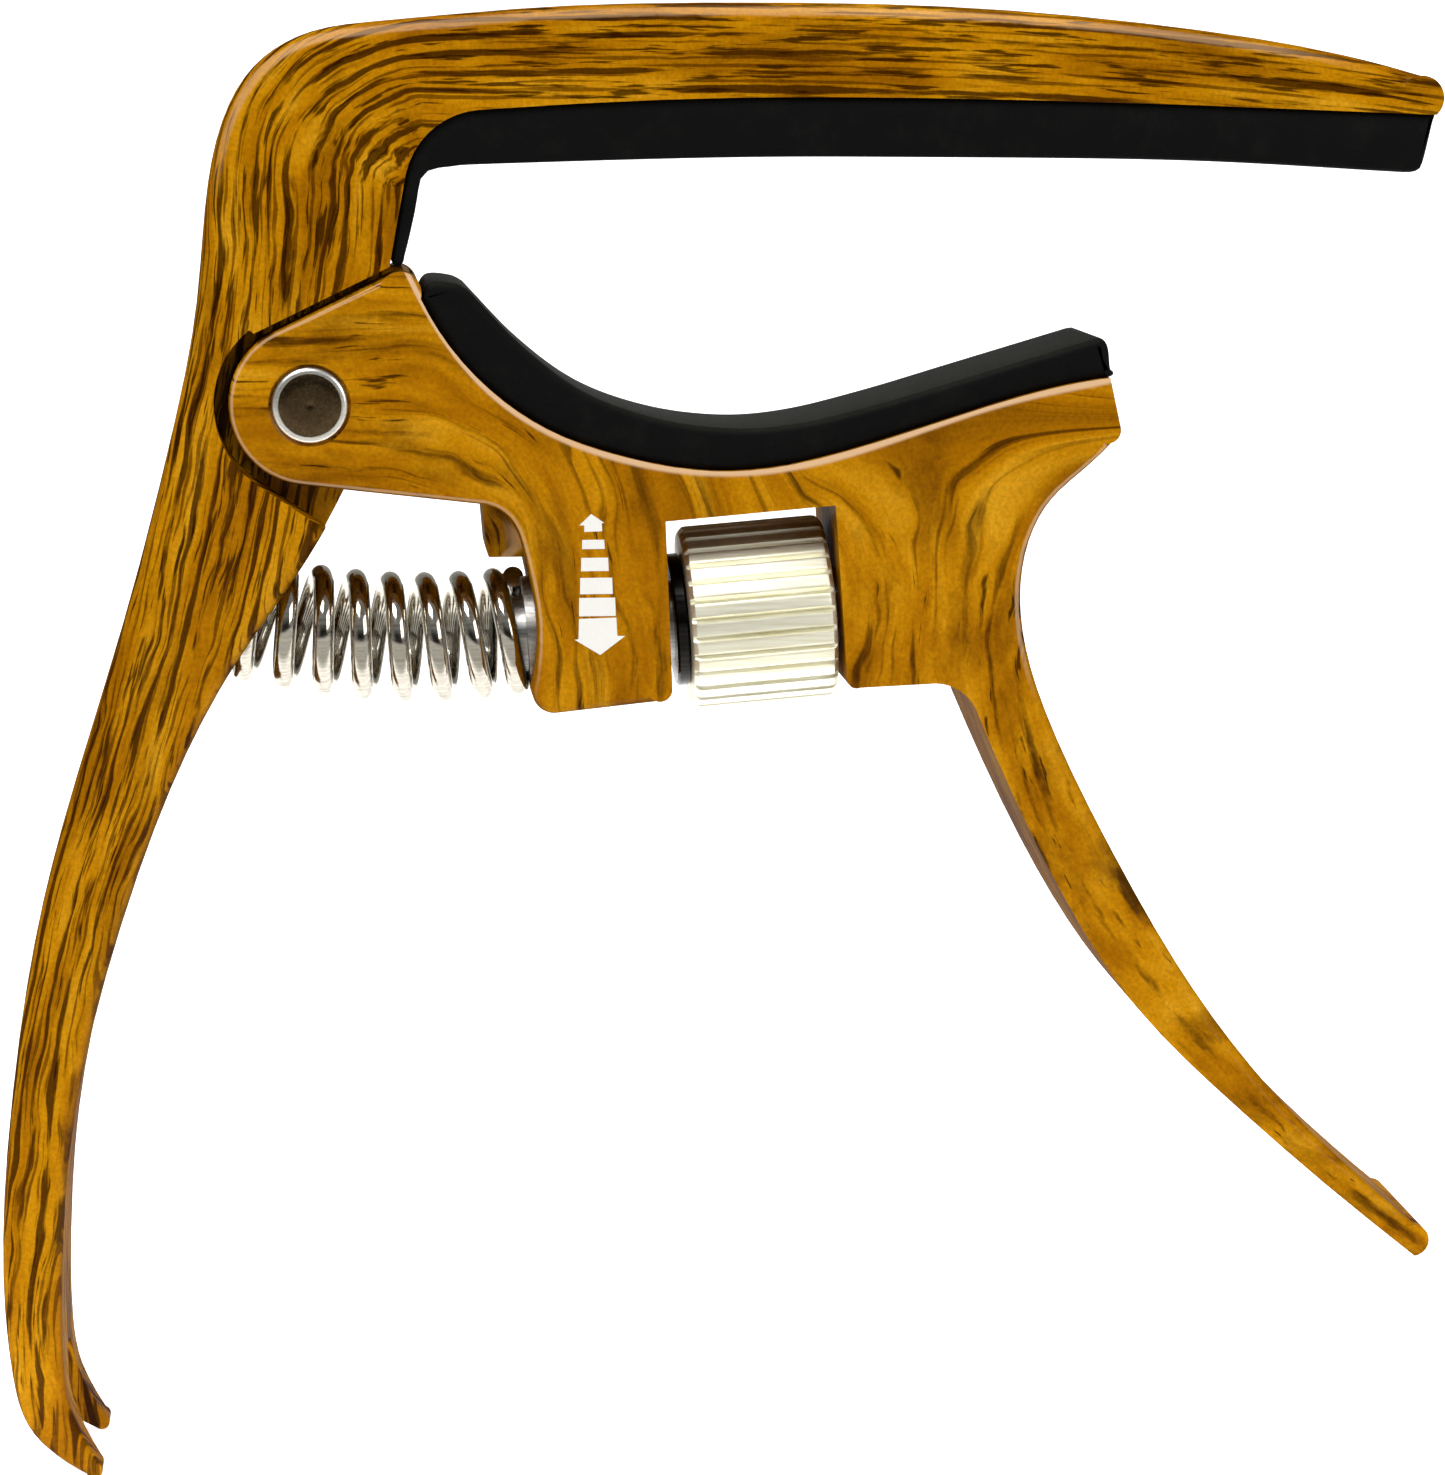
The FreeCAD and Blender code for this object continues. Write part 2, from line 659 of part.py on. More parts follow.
def pivot_washer(label, side):
    """A thin plastic washer between the tongue and one ear; side is -1 in front, +1 behind."""
    body = new_body(label)
    middle = side * (size("tongue_width") + size("slot_width")) / 4
    sketch = new_sketch(body, f"{label}_ring", "XZ_Plane", shift=(0, 0, -middle))
    draw_circle(sketch, PIVOT, "dimensions.washer_diameter")
    draw_circle(sketch, PIVOT, "dimensions.pin_diameter + 2 * dimensions.running_gap")
    pad(body, sketch, "dimensions.washer_thickness", f"{label}_pad")
    return body


# ---- thumbwheel, screw and spring --------------------------------------------------------------


def thumbwheel():
    """A knurled steel nut: straight ridges along its length, chamfered at both ends."""
    radius = size("wheel_diameter") / 2
    length = size("wheel_length")
    chamfer = size("wheel_chamfer")
    bore = size("screw_diameter") / 2 + size("running_gap")
    points = [(bore, 0), (radius - chamfer, 0), (radius, chamfer)]
    points += [(radius, length - chamfer), (radius - chamfer, length), (bore, length)]
    body = turned_body("thumbwheel", points)
    sketch = new_sketch(body, "groove_section", "XY_Plane")
    depth = size("groove_depth")
    half = 0.45 * depth + 0.06
    outside = radius + 0.2
    corners = [(radius - depth, -0.06), (radius - depth, 0.06)]
    corners += [(outside, half + 0.2), (outside, -half - 0.2)]
    draw_outline(sketch, corners[-1], [("line", [corner]) for corner in corners])
    groove = pocket(body, sketch, "2 * dimensions.wheel_length", "groove")
    pattern = body.newObject("PartDesign::PolarPattern", "grooves")
    pattern.Originals = [groove]
    pattern.Axis = (sketch, ["N_Axis"])
    pattern.Angle = 360.0
    pattern.setExpression("Occurrences", "dimensions.ridge_count")
    body.Tip = pattern
    doc.recompute()
    place_on_axis(body, along_screw(-length / 2), size("screw_slope"))
    return body


def thrust_collar():
    """The plain collar between the thumbwheel and the post, which takes the spring's push."""
    radius = size("collar_diameter") / 2
    bore = size("screw_diameter") / 2 + size("running_gap")
    length = size("collar_thickness")
    chamfer = 0.15
    points = [(bore, 0), (radius - chamfer, 0), (radius, chamfer)]
    points += [(radius, length - chamfer), (radius - chamfer, length), (bore, length)]
    body = turned_body("thrust_collar", points)
    gap_to_wheel = 0.03
    start = -size("wheel_length") / 2 - gap_to_wheel - length
    place_on_axis(body, along_screw(start), size("screw_slope"))
    return body


def seat_position():
    """How far the spring seat's pressed face lies from the wheel's middle, along the axis."""
    return (size("seat_x") - size("wheel_x")) / cosine("screw_slope")


def tension_screw():
    """The screw that the wheel drives; a flat along its left half keeps it from turning."""
    radius = size("screw_diameter") / 2
    length = size("screw_length")
    chamfer = 0.4
    points = [(0, 0), (radius, 0), (radius, length - chamfer)]
    points += [(radius - chamfer, length), (0, length)]
    body = turned_body("tension_screw", points)
    sketch = new_sketch(body, "flat_section", "XY_Plane")
    flat = size("screw_flat")
    corners = [(flat, -4.0), (flat, 4.0), (4.0, 4.0), (4.0, -4.0)]
    draw_outline(sketch, corners[-1], [("line", [corner]) for corner in corners])
    flat_length = 7.5
    pocket(body, sketch, f"{2 * flat_length}", "anti_rotation_flat")
    start = seat_position() + size("seat_thickness")
    place_on_axis(body, along_screw(start), size("screw_slope"))
    return body


def spring_seat():
    """The flanged seat on the screw's left end, with a nose that centres the spring."""
    flange = size("seat_diameter") / 2
    nose = size("seat_spigot") / 2
    thickness = size("seat_thickness")
    nose_length = size("seat_spigot_length")
    chamfer = 0.4
    points = [(0, -nose_length), (nose - chamfer, -nose_length), (nose, chamfer - nose_length)]
    points += [(nose, 0), (flange, 0), (flange, thickness), (0, thickness)]
    body = turned_body("spring_seat", points)
    place_on_axis(body, along_screw(seat_position()), size("screw_slope"))
    return body


def tension_spring():
    """The round-wire compression spring, from the handle's pocket to the seat."""
    wire = size("spring_wire")
    left = (size("spring_left_x"), size("spring_left_z"))
    right = along_screw(seat_position())
    span = math.dist(left, right)
    slope = math.degrees(math.atan2(right[1] - left[1], right[0] - left[0]))
    end_gap = 0.02
    body = new_body("tension_spring")
    sketch = new_sketch(body, "wire_section", "XZ_Plane")
    middle = (size("spring_diameter") - wire) / 2
    draw_circle(sketch, (middle, wire / 2 + end_gap), "dimensions.spring_wire")
    coil = body.newObject("PartDesign::AdditiveHelix", "coil")
    coil.Profile = sketch
    coil.ReferenceAxis = (sketch, ["V_Axis"])
    coil.Mode = "height-turns-angle"
    coil.Height = span - wire - 2 * end_gap
    coil.setExpression("Turns", "dimensions.spring_turns")
    doc.recompute()
    place_on_axis(body, left, slope)
    return body


# ---- checking and writing ----------------------------------------------------------------------


def check_document():
    """Stops at any object that failed to compute."""
    doc.recompute()
    for item in doc.Objects:
        faults = {"Invalid", "Error"} & set(item.State)
        if faults:
            raise RuntimeError(f"{item.Label}: {', '.join(sorted(faults))}")


def write_parts(parts):
    """Writes each sub-part to its own STEP file, once its shape is proved sound."""
    os.makedirs("parts", exist_ok=True)
    for part in parts:
        shape = part.Shape
        if shape.isNull() or not shape.isValid() or not shape.Solids:
            raise RuntimeError(f"{part.Label}: the shape isn't sound")
        shape.exportStep(os.path.join("parts", f"{part.Label}.step"))
        print(f"{part.Label}: {len(shape.Solids)} solid, {shape.Volume:.1f} mm3")


def main():
    parts = [
        upper_arm(),
        lower_arm(),
        fretboard_pad(),
        neck_pad(),
        pivot_pin(),
        pivot_washer("pivot_washer_front", -1),
        pivot_washer("pivot_washer_rear", 1),
        thumbwheel(),
        thrust_collar(),
        tension_screw(),
        spring_seat(),
        tension_spring(),
    ]
    check_document()
    write_parts(parts)


main()
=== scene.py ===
"""Guitar capo: the finished surfaces over its CAD frame, laid out as an add-on and run as a script."""

import math
from functools import partial

import bmesh
import bpy
import numpy as np
from bpy.props import FloatProperty, FloatVectorProperty, IntProperty, PointerProperty
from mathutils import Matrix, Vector


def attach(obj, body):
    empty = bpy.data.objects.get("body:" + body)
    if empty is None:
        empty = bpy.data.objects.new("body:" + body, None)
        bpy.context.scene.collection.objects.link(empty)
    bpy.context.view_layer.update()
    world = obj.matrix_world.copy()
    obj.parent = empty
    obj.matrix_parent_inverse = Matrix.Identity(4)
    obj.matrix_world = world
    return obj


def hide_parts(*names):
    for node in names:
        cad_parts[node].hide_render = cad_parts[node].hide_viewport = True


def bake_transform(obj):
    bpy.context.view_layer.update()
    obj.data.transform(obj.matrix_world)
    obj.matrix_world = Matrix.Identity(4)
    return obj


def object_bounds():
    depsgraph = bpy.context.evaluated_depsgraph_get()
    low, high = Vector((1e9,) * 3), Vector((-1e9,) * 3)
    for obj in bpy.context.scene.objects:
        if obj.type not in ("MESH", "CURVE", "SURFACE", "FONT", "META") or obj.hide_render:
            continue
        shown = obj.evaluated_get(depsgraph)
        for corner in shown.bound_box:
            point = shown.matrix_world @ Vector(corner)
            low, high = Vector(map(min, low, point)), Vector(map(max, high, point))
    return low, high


bl_info = {
    "name": "Guitar capo",
    "version": (1, 0, 0),
    "blender": (4, 5, 0),
    "location": "3D View > Sidebar > Capo",
    "description": "Builds a capo's arms, pads, spring and adjuster over its CAD frame",
    "category": "Add Mesh",
}

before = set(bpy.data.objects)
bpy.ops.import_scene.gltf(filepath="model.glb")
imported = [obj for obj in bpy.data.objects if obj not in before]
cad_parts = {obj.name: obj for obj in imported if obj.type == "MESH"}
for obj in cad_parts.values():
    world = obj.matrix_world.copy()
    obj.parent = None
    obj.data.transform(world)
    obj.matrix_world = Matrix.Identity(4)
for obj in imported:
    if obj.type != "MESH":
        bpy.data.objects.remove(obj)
CAD_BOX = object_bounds()
MM = 0.001


# ---- colours, nodes and meshes -----------------------------------------------------------------


def linear(code, alpha=True):
    """An sRGB hex colour as linear values."""
    values = [int(code[i : i + 2], 16) / 255 for i in (1, 3, 5)]
    values = [v / 12.92 if v <= 0.04045 else ((v + 0.055) / 1.055) ** 2.4 for v in values]
    return (*values, 1.0) if alpha else tuple(values)


def add_node(tree, kind, *values, output=0, stops=(), **settings):
    """Adds one shader node and gives its output, or a list of them where output is a slice.

    Values and the sockets they come from fill the inputs in order, and a dict fills inputs by name
    or number. Settings are the node's own attributes, stops a ramp's positions and hex colours.
    """
    node = tree.nodes.new(f"ShaderNode{kind}")
    for name, value in settings.items():
        setattr(node, name, value)
    inputs = {}
    for value in values:
        inputs |= value if isinstance(value, dict) else {len(inputs): value}
    for place, value in inputs.items():
        if isinstance(value, bpy.types.NodeSocket):
            tree.links.new(value, node.inputs[place])
        else:
            node.inputs[place].default_value = value
    for number, (position, code) in enumerate(stops):
        if number > 1:
            node.color_ramp.elements.new(position)
        element = node.color_ramp.elements[number]
        element.position, element.color = position, linear(code)
    return node.outputs[output] if node.outputs else None


def new_material(name):
    """An empty node material, what adds a node to it, and the object's coordinates in millimetres."""
    material = bpy.data.materials.new(name)
    material.use_nodes = True
    material.node_tree.nodes.clear()
    node = partial(add_node, material.node_tree)
    place = node("TexCoord", output="Object")
    place = node("VectorMath", {0: place, "Scale": 1 / MM}, operation="SCALE")
    return material, node, place


def outward(mesh):
    """Turns a closed mesh's faces outwards, by the sign of its volume."""
    work = bmesh.new()
    work.from_mesh(mesh)
    inside_out = work.calc_volume(signed=True) < 0
    work.free()
    if inside_out:
        mesh.flip_normals()


def add_piece(name, points, faces, material, body, sharp=40.0):
    """A finished piece: its mesh, smooth but for corners over sharp degrees, riding on a body."""
    mesh = bpy.data.meshes.new(name)
    mesh.from_pydata(np.asarray(points).tolist(), [], faces)
    mesh.validate()
    outward(mesh)
    return finish_piece(name, mesh, material, body, sharp)


def finish_piece(name, mesh, material, body, sharp):
    """Puts a mesh into the scene with its shading, its material and the body it rides on."""
    mesh.polygons.foreach_set("use_smooth", np.ones(len(mesh.polygons), bool))
    mesh.set_sharp_from_angle(angle=math.radians(sharp))
    piece = bpy.data.objects.new(name, mesh)
    bpy.context.collection.objects.link(piece)
    mesh.materials.clear()
    mesh.materials.append(material)
    if body:
        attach(piece, body)
    return piece


def grid_faces(rows, columns, close_rows=False, close_columns=False):
    """The quads between a grid's points, numbered row by row, closed onto themselves where asked."""
    r = np.arange(rows if close_rows else rows - 1)
    c = np.arange(columns if close_columns else columns - 1)
    r, c = np.meshgrid(r, c, indexing="ij")
    up, across = (r + 1) % rows, (c + 1) % columns
    corners = [r * columns + c, r * columns + across, up * columns + across, up * columns + c]
    quads = np.stack(corners, axis=-1)
    return quads.reshape(-1, 4).tolist()


def smooth_line(points, count):
    """Catmull-Rom curve through the points: on each stretch the cubic whose end slopes are half the
    difference of the neighbouring points, sampled evenly along its length."""
    p = np.asarray(points, float)
    p = np.vstack([2 * p[0] - p[1], p, 2 * p[-1] - p[-2]])
    t = np.linspace(0, 1, 40, endpoint=False)[:, None]
    a, b, c, d = p[:-3, None], p[1:-2, None], p[2:-1, None], p[3:, None]
    bend, twist = 2 * a - 5 * b + 4 * c - d, 3 * b - a - 3 * c + d
    line = 0.5 * (2 * b + (c - a) * t + bend * t**2 + twist * t**3)
    line = np.vstack([line.reshape(-1, p.shape[1]), p[-2]])
    along = np.r_[0, np.cumsum(np.linalg.norm(np.diff(line, axis=0), axis=1))]
    even = np.linspace(0, along[-1], count)
    return np.stack([np.interp(even, along, line[:, i]) for i in range(line.shape[1])], axis=1)


def inward_normals(outline):
    """Unit normals of a closed outline in the XZ plane, pointing into it."""
    tangent = np.roll(outline, -1, axis=0) - np.roll(outline, 1, axis=0)
    tangent /= np.linalg.norm(tangent, axis=1, keepdims=True)
    normal = np.stack([-tangent[:, 1], tangent[:, 0]], axis=1)
    x, z = outline.T
    area = np.sum(x * np.roll(z, -1) - np.roll(x, -1) * z)
    return normal if area > 0 else -normal


def strip_outline(one_side, one_end, other_side, other_end, count, end_count):
    """A closed outline from four smooth lines, and the faces that fill it: quads from one side across
    to the other, which have the same count of points, and one face at each end."""
    lines = [(one_side, count), (one_end, end_count), (other_side, count), (other_end, end_count)]
    outline = np.vstack([smooth_line(points, number)[:-1] for points, number in lines])
    start = count + end_count - 2
    last = start + count - 1
    i = np.arange(count - 1)
    quads = np.stack([i, i + 1, last - i - 1, last - i], axis=1).tolist()
    ends = [list(range(count - 1, start + 1)), [*range(last, len(outline)), 0]]
    return outline, quads + ends


def rounded_slab(outline, fill, half_width, radius, steps=5):
    """Closed slab over an outline: from each flat side the surface runs round a quarter circle.

    At angle t, from 0 on the flat to 90 degrees on the edge, the outline moves in by
    radius * (1 - sin t) and lies radius * (1 - cos t) below the flat.
    """
    normal = inward_normals(outline)
    angle = np.radians(np.linspace(0, 90, steps + 1))[:, None]
    inset = radius * (1 - np.sin(angle))
    depth = half_width - radius * (1 - np.cos(angle))
    inset = np.vstack([inset, inset[::-1]])
    depth = np.vstack([-depth, depth[::-1]])
    flat = outline[None] + inset[..., None] * normal[None]
    depth = np.broadcast_to(depth, flat.shape[:2])
    points = np.stack([flat[..., 0], depth, flat[..., 1]], axis=-1)
    rows, columns = points.shape[:2]
    faces = grid_faces(rows, columns, close_columns=True)
    last = (rows - 1) * columns
    faces += [face[::-1] for face in fill]
    faces += [[last + number for number in face] for face in fill]
    return points.reshape(-1, 3) * MM, faces


def turned(profile, origin, axis, sides):
    """A profile of (distance along the axis, radius) turned all the way round: radius times cosine and
    sine of the turn, across the axis. The first and last radius may be 0, at the axis."""
    axis = np.asarray(axis, float)
    side = np.array([0.0, 1.0, 0.0]) if abs(axis[1]) < 0.9 else np.array([1.0, 0.0, 0.0])
    up = np.cross(axis, side)
    along, radius = np.asarray(profile, float).T
    turn = np.linspace(0, 2 * np.pi, sides, endpoint=False)
    ring = np.cos(turn)[:, None] * side + np.sin(turn)[:, None] * up
    points = np.asarray(origin) + along[:, None, None] * axis + radius[:, None, None] * ring[None]
    return points.reshape(-1, 3) * MM, grid_faces(len(along), sides, close_columns=True)


def close_ends(faces, rows, columns):
    """The turned faces with a flat face at each end."""
    last = (rows - 1) * columns
    return faces + [list(range(columns))[::-1], list(range(last, last + columns))]


# ---- sizes and finishes a user would change -------------------------------------------------------


class CapoSizes(bpy.types.PropertyGroup):
    """Sizes of the finished pieces."""

    edge_softening: FloatProperty(
        name="Edge softening",
        description="Radius given to edges the casting leaves sharp",
        default=0.35 * MM,
        unit="LENGTH",
        subtype="DISTANCE",
    )
    pad_round: FloatProperty(
        name="Pad rounding",
        description="Radius of the rubber pads' long edges",
        default=0.55 * MM,
        unit="LENGTH",
        subtype="DISTANCE",
    )
    spring_wire: FloatProperty(
        name="Spring wire",
        description="Diameter of the spring's wire",
        default=1.35 * MM,
        unit="LENGTH",
        subtype="DISTANCE",
    )
    wheel_ridges: IntProperty(
        name="Wheel ridges",
        description="Ridges round the thumbwheel",
        default=30,
        min=12,
        max=60,
    )


class CapoFinish(bpy.types.PropertyGroup):
    """Colours of the finished pieces."""

    rubber_black: FloatVectorProperty(
        name="Rubber",
        description="Colour of the rubber pads",
        default=linear("#070707", False),
        subtype="COLOR",
    )
    print_white: FloatVectorProperty(
        name="Arrow",
        description="Colour of the printed arrow",
        default=linear("#F6F5F0", False),
        subtype="COLOR",
    )


# ---- materials -------------------------------------------------------------------------------------


def beyond(node, value, line):
    """How far a value lies beyond a line, and 0 before it."""
    return node("Math", node("Math", value, line, operation="SUBTRACT"), 0.0, operation="MAXIMUM")


def distance(node, first, second):
    """The root of the sum of two squares."""
    first = node("Math", first, 2.0, operation="POWER")
    second = node("Math", second, 2.0, operation="POWER")
    return node("Math", node("Math", first, second, operation="ADD"), operation="SQRT")


def upper_grain(node, place):
    """Distance along and across the upper arm's grain, in millimetres, and the depth.

    Across is the height over the inner corner on the jaw, the distance left of it on the handle, and
    the distance from it in between; along runs on from one to the other.
    """
    corner_x, corner_z, corner_round = -19.0, 15.0, 11.0
    x, y, z = node("SeparateXYZ", place, output=slice(3))
    # the jaw's inner edge falls away to the right as a parabola
    arch = node("Math", x, 0.0, operation="MAXIMUM")
    arch = node("Math", arch, 2.0, operation="POWER")
    arch = node("Math", arch, 0.0015, operation="MULTIPLY")
    above = node("Math", z, corner_z, operation="SUBTRACT")
    above = node("Math", above, arch, operation="ADD")
    above = node("Math", above, 0.0, operation="MAXIMUM")
    # the handle's outer edge leans in as it rises, and the lines are 13 mm deep there
    rise = node("MapRange", z, -58.0, 18.0, interpolation_type="SMOOTHSTEP")
    outside = node("Math", rise, 14.6, -46.6, operation="MULTIPLY_ADD")
    left = node("Math", outside, x, operation="SUBTRACT")
    left = node("Math", left, 13.0, operation="ADD")
    left = node("Math", left, 0.0, operation="MAXIMUM")
    across = distance(node, above, left)
    turn = node("Math", above, node("Math", left, 0.01, operation="ADD"), operation="ARCTAN2")
    turn = node("Math", turn, corner_round, operation="MULTIPLY")
    right = beyond(node, x, corner_x)
    down = beyond(node, corner_z, z)
    along = node("Math", right, down, operation="SUBTRACT")
    along = node("Math", along, turn, operation="ADD")
    return node("CombineXYZ", along, across, y)


def lower_grain(node, place):
    """Distance along and across the lower arm's grain, in millimetres, and the depth.

    Right of the thumbwheel, across is measured from the right handle's outer edge, a parabola below
    the body; higher up the lines fan out from the handle's root. On ears and post it is the distance
    from the corner between them, so that the lines bend round it. The two meet over the wheel.
    """
    handle_top, corner_x, corner_z, corner_round = -10.0, -21.0, -9.0, 9.0
    x, y, z = node("SeparateXYZ", place, output=slice(3))
    down = beyond(node, handle_top, z)
    up = beyond(node, z, handle_top)
    edge = node("Math", down, 2.0, operation="POWER")
    edge = node("Math", edge, 0.0147, 18.4, operation="MULTIPLY_ADD")
    across = node("Math", edge, x, operation="SUBTRACT")
    fan = node("Math", across, 14.0, operation="MINIMUM")
    fan = node("Math", fan, -1 / 6, 1.0, operation="MULTIPLY_ADD")
    bend = node("Math", up, 1.6, operation="POWER")
    bend = node("Math", bend, 0.14, operation="MULTIPLY")
    across = node("Math", bend, fan, across, operation="MULTIPLY_ADD")
    slope = node("Math", down, 0.022, 1.0, operation="MULTIPLY_ADD")
    across = node("Math", across, slope, operation="DIVIDE")
    along = node("Math", 0.0, z, operation="SUBTRACT")
    along = node("Math", along, slope, operation="MULTIPLY")
    # ears and post, round their corner
    right = node("Math", x, corner_x, operation="SUBTRACT")
    right = node("Math", right, 0.01, operation="MAXIMUM")
    above = beyond(node, z, corner_z)
    from_corner = node("Math", 35.0, distance(node, right, above), operation="SUBTRACT")
    turn = node("Math", above, right, operation="ARCTAN2")
    turn = node("Math", turn, corner_round, operation="MULTIPLY")
    way_round = node("Math", turn, beyond(node, corner_x, x), operation="ADD")
    way_round = node("Math", way_round, beyond(node, corner_z, z), operation="SUBTRACT")
    share = node("MapRange", x, 0.0, 7.0, interpolation_type="SMOOTHSTEP")
    rest = node("Math", 1.0, share, operation="SUBTRACT")
    met = []
    for on_handle, on_post in ((along, way_round), (across, from_corner)):
        on_handle = node("Math", on_handle, share, operation="MULTIPLY")
        on_post = node("Math", on_post, rest, operation="MULTIPLY")
        met.append(node("Math", on_handle, on_post, operation="ADD"))
    return node("CombineXYZ", *met, y)


CRADLE_POLYNOMIAL = (0.0468, -0.1268, -0.179, 0.0397, 2.0738, 0.1076, -2.595)


def cradle_line(node, place):
    """1 in a band 0.7 mm high at the edge of the neck's cradle, whose height is a polynomial of x."""
    x, _, z = node("SeparateXYZ", place, output=slice(3))
    tens = node("Math", x, 0.1, operation="MULTIPLY")
    height = CRADLE_POLYNOMIAL[0]
    for factor in CRADLE_POLYNOMIAL[1:]:
        height = node("Math", height, tens, factor, operation="MULTIPLY_ADD")
    depth = node("Math", height, z, operation="SUBTRACT")
    lower_side = node("MapRange", depth, 0.48, 0.22, interpolation_type="SMOOTHSTEP")
    upper_side = node("MapRange", depth, -0.5, -0.2, interpolation_type="SMOOTHSTEP")
    return node("Math", lower_side, upper_side, operation="MULTIPLY")


def no_line(node, place):
    """No cream line."""
    return 0.0


def wood_print(
    name, grain_of, edge_line, tones,
    *, spacing, coverage, pores_cover, soft, swirl, cloud, rim_light, rim_from,
):
    """Gloss wood-grain transfer print under clear lacquer on a zinc casting.

    Water-transfer film gives broken dark lines over ochre and a thin cream rim where the film
    stretches over an edge, with a painted highlight laid on that rim; painted shade darkens the
    sides and undersides; the lacquer gives a smooth coat that mirrors the lights.

    grain_of gives the grain's own coordinates, edge_line a cream line's strength, and tones the
    four ochres from dark to light. spacing is the growth rings' distance in millimetres, coverage
    and pores_cover how much of rings and pores shows, soft how gradually a ring's edge fades, swirl
    how far the rings wander in millimetres, cloud the strength of the soft darker patches,
    rim_light that of the cream rim with its painted highlight, and rim_from the height in
    millimetres that the rim starts at.
    """
    material, node, place = new_material(name)
    grain = grain_of(node, place)
    along, across, depth = node("SeparateXYZ", grain, output=slice(3))
    across = node("Math", depth, 0.6, across, operation="MULTIPLY_ADD")

    def streaks(per_along, per_across, seed, detail, roughness):
        """Noise drawn out along the grain, at two scales per millimetre."""
        parts = [
            node("Math", along, per_along, operation="MULTIPLY"),
            node("Math", across, per_across, operation="MULTIPLY"),
            node("Math", depth, per_across * 0.15, seed, operation="MULTIPLY_ADD"),
        ]
        drawn_out = node("CombineXYZ", *parts)
        inputs = {"Vector": drawn_out, "Scale": 1.0, "Detail": detail, "Roughness": roughness}
        return node("TexNoise", inputs)

    wander = streaks(0.055, 0.14, 3.0, 3.0, 0.55)
    wander = node("Math", wander, 0.5, operation="SUBTRACT")
    wander = node("Math", wander, swirl, operation="MULTIPLY")
    steady = node("MapRange", along, 24.0, 6.0, interpolation_type="SMOOTHSTEP")
    wander = node("Math", wander, steady, operation="MULTIPLY")
    across = node("Math", across, wander, operation="ADD")
    tone = streaks(0.09, 0.45, 9.0, 4.0, 0.62)
    colour = node("ValToRGB", tone, stops=list(zip((0.28, 0.44, 0.57, 0.74), tones)))
    # growth rings: sines across the grain, broken along their length, and a finer set between them
    ring_lines = []
    for finer, weight, threshold, broken in (
        (1.0, 0.13, 0.66, (0.085, 1.1 / spacing, 21.0, 4.0, 0.6)),
        (2.3, 0.09, 0.64, (0.14, 2.4 / spacing, 71.0, 3.0, 0.6)),
    ):
        ring = node("Math", across, 2 * math.pi / spacing * finer, operation="MULTIPLY")
        ring = node("Math", ring, operation="SINE")
        ring = node("Math", ring, weight, streaks(*broken), operation="MULTIPLY_ADD")
        low, high = threshold - coverage, threshold + soft - coverage
        ring_lines.append(node("MapRange", ring, low, high, interpolation_type="SMOOTHSTEP"))
    # pore dashes, 0.3 mm thick and a few millimetres long, thick in some zones
    pores = streaks(0.22, 2.6, 33.0, 2.0, 0.6)
    zones = node("Math", streaks(0.045, 0.28, 45.0, 2.0, 0.5), 0.5, operation="SUBTRACT")
    zones = node("Math", zones, 0.35, operation="MULTIPLY")
    pores = node("Math", pores, zones, operation="ADD")
    low, high = 0.64 - pores_cover, 0.72 - pores_cover
    pores = node("MapRange", pores, low, high, interpolation_type="SMOOTHSTEP")
    patches = streaks(0.1, 0.3, 57.0, 5.0, 0.62)
    patches = node("MapRange", patches, 0.47, 0.7, interpolation_type="SMOOTHSTEP")
    for amount, strength, paint in (
        (patches, cloud, "#5E3502"),
        (ring_lines[0], 0.88, "#331500"),
        (ring_lines[1], 0.7, "#472300"),
        (pores, 0.85, "#2A1000"),
    ):
        amount = node("Math", amount, strength, operation="MULTIPLY")
        colour = node("Mix", {0: amount, 6: colour, 7: linear(paint)}, output=2, data_type="RGBA")
    # mottling of the print itself, a quarter of a millimetre
    mottle = node("TexNoise", {"Vector": place, "Scale": 4.0, "Detail": 3.0, "Roughness": 0.6})
    mottle = node("Math", mottle, 0.9, 0.55, operation="MULTIPLY_ADD")
    mottle = node("CombineXYZ", mottle, mottle, mottle)
    inputs = {0: 1.0, 6: colour, 7: mottle}
    colour = node("Mix", inputs, output=2, data_type="RGBA", blend_type="MULTIPLY")
    # cream rim on the narrow rounding beside the flat sides, down to the body's lower end: partly the
    # film stretched thin over the edge, partly a painted highlight, which on the upper arm stands for
    # the lacquer's glint along the jaw's top edge
    normal = node("NewGeometry", output="Normal")
    _, facing, upward = node("SeparateXYZ", normal, output=slice(3))
    facing = node("Math", facing, operation="ABSOLUTE")
    height = node("SeparateXYZ", place, output=2)
    rim_and_highlight = node("MapRange", facing, 0.6, 0.75, interpolation_type="SMOOTHSTEP")
    for value, low, high in (
        (facing, 0.97, 0.9),
        (height, rim_from, rim_from + 6.0),
        (along, 77.0, 68.0),
    ):
        limit = node("MapRange", value, low, high, interpolation_type="SMOOTHSTEP")
        rim_and_highlight = node("Math", rim_and_highlight, limit, operation="MULTIPLY")
    rim_and_highlight = node("Math", rim_and_highlight, rim_light, operation="MULTIPLY")
    line = node("Math", edge_line(node, place), facing, operation="MULTIPLY")
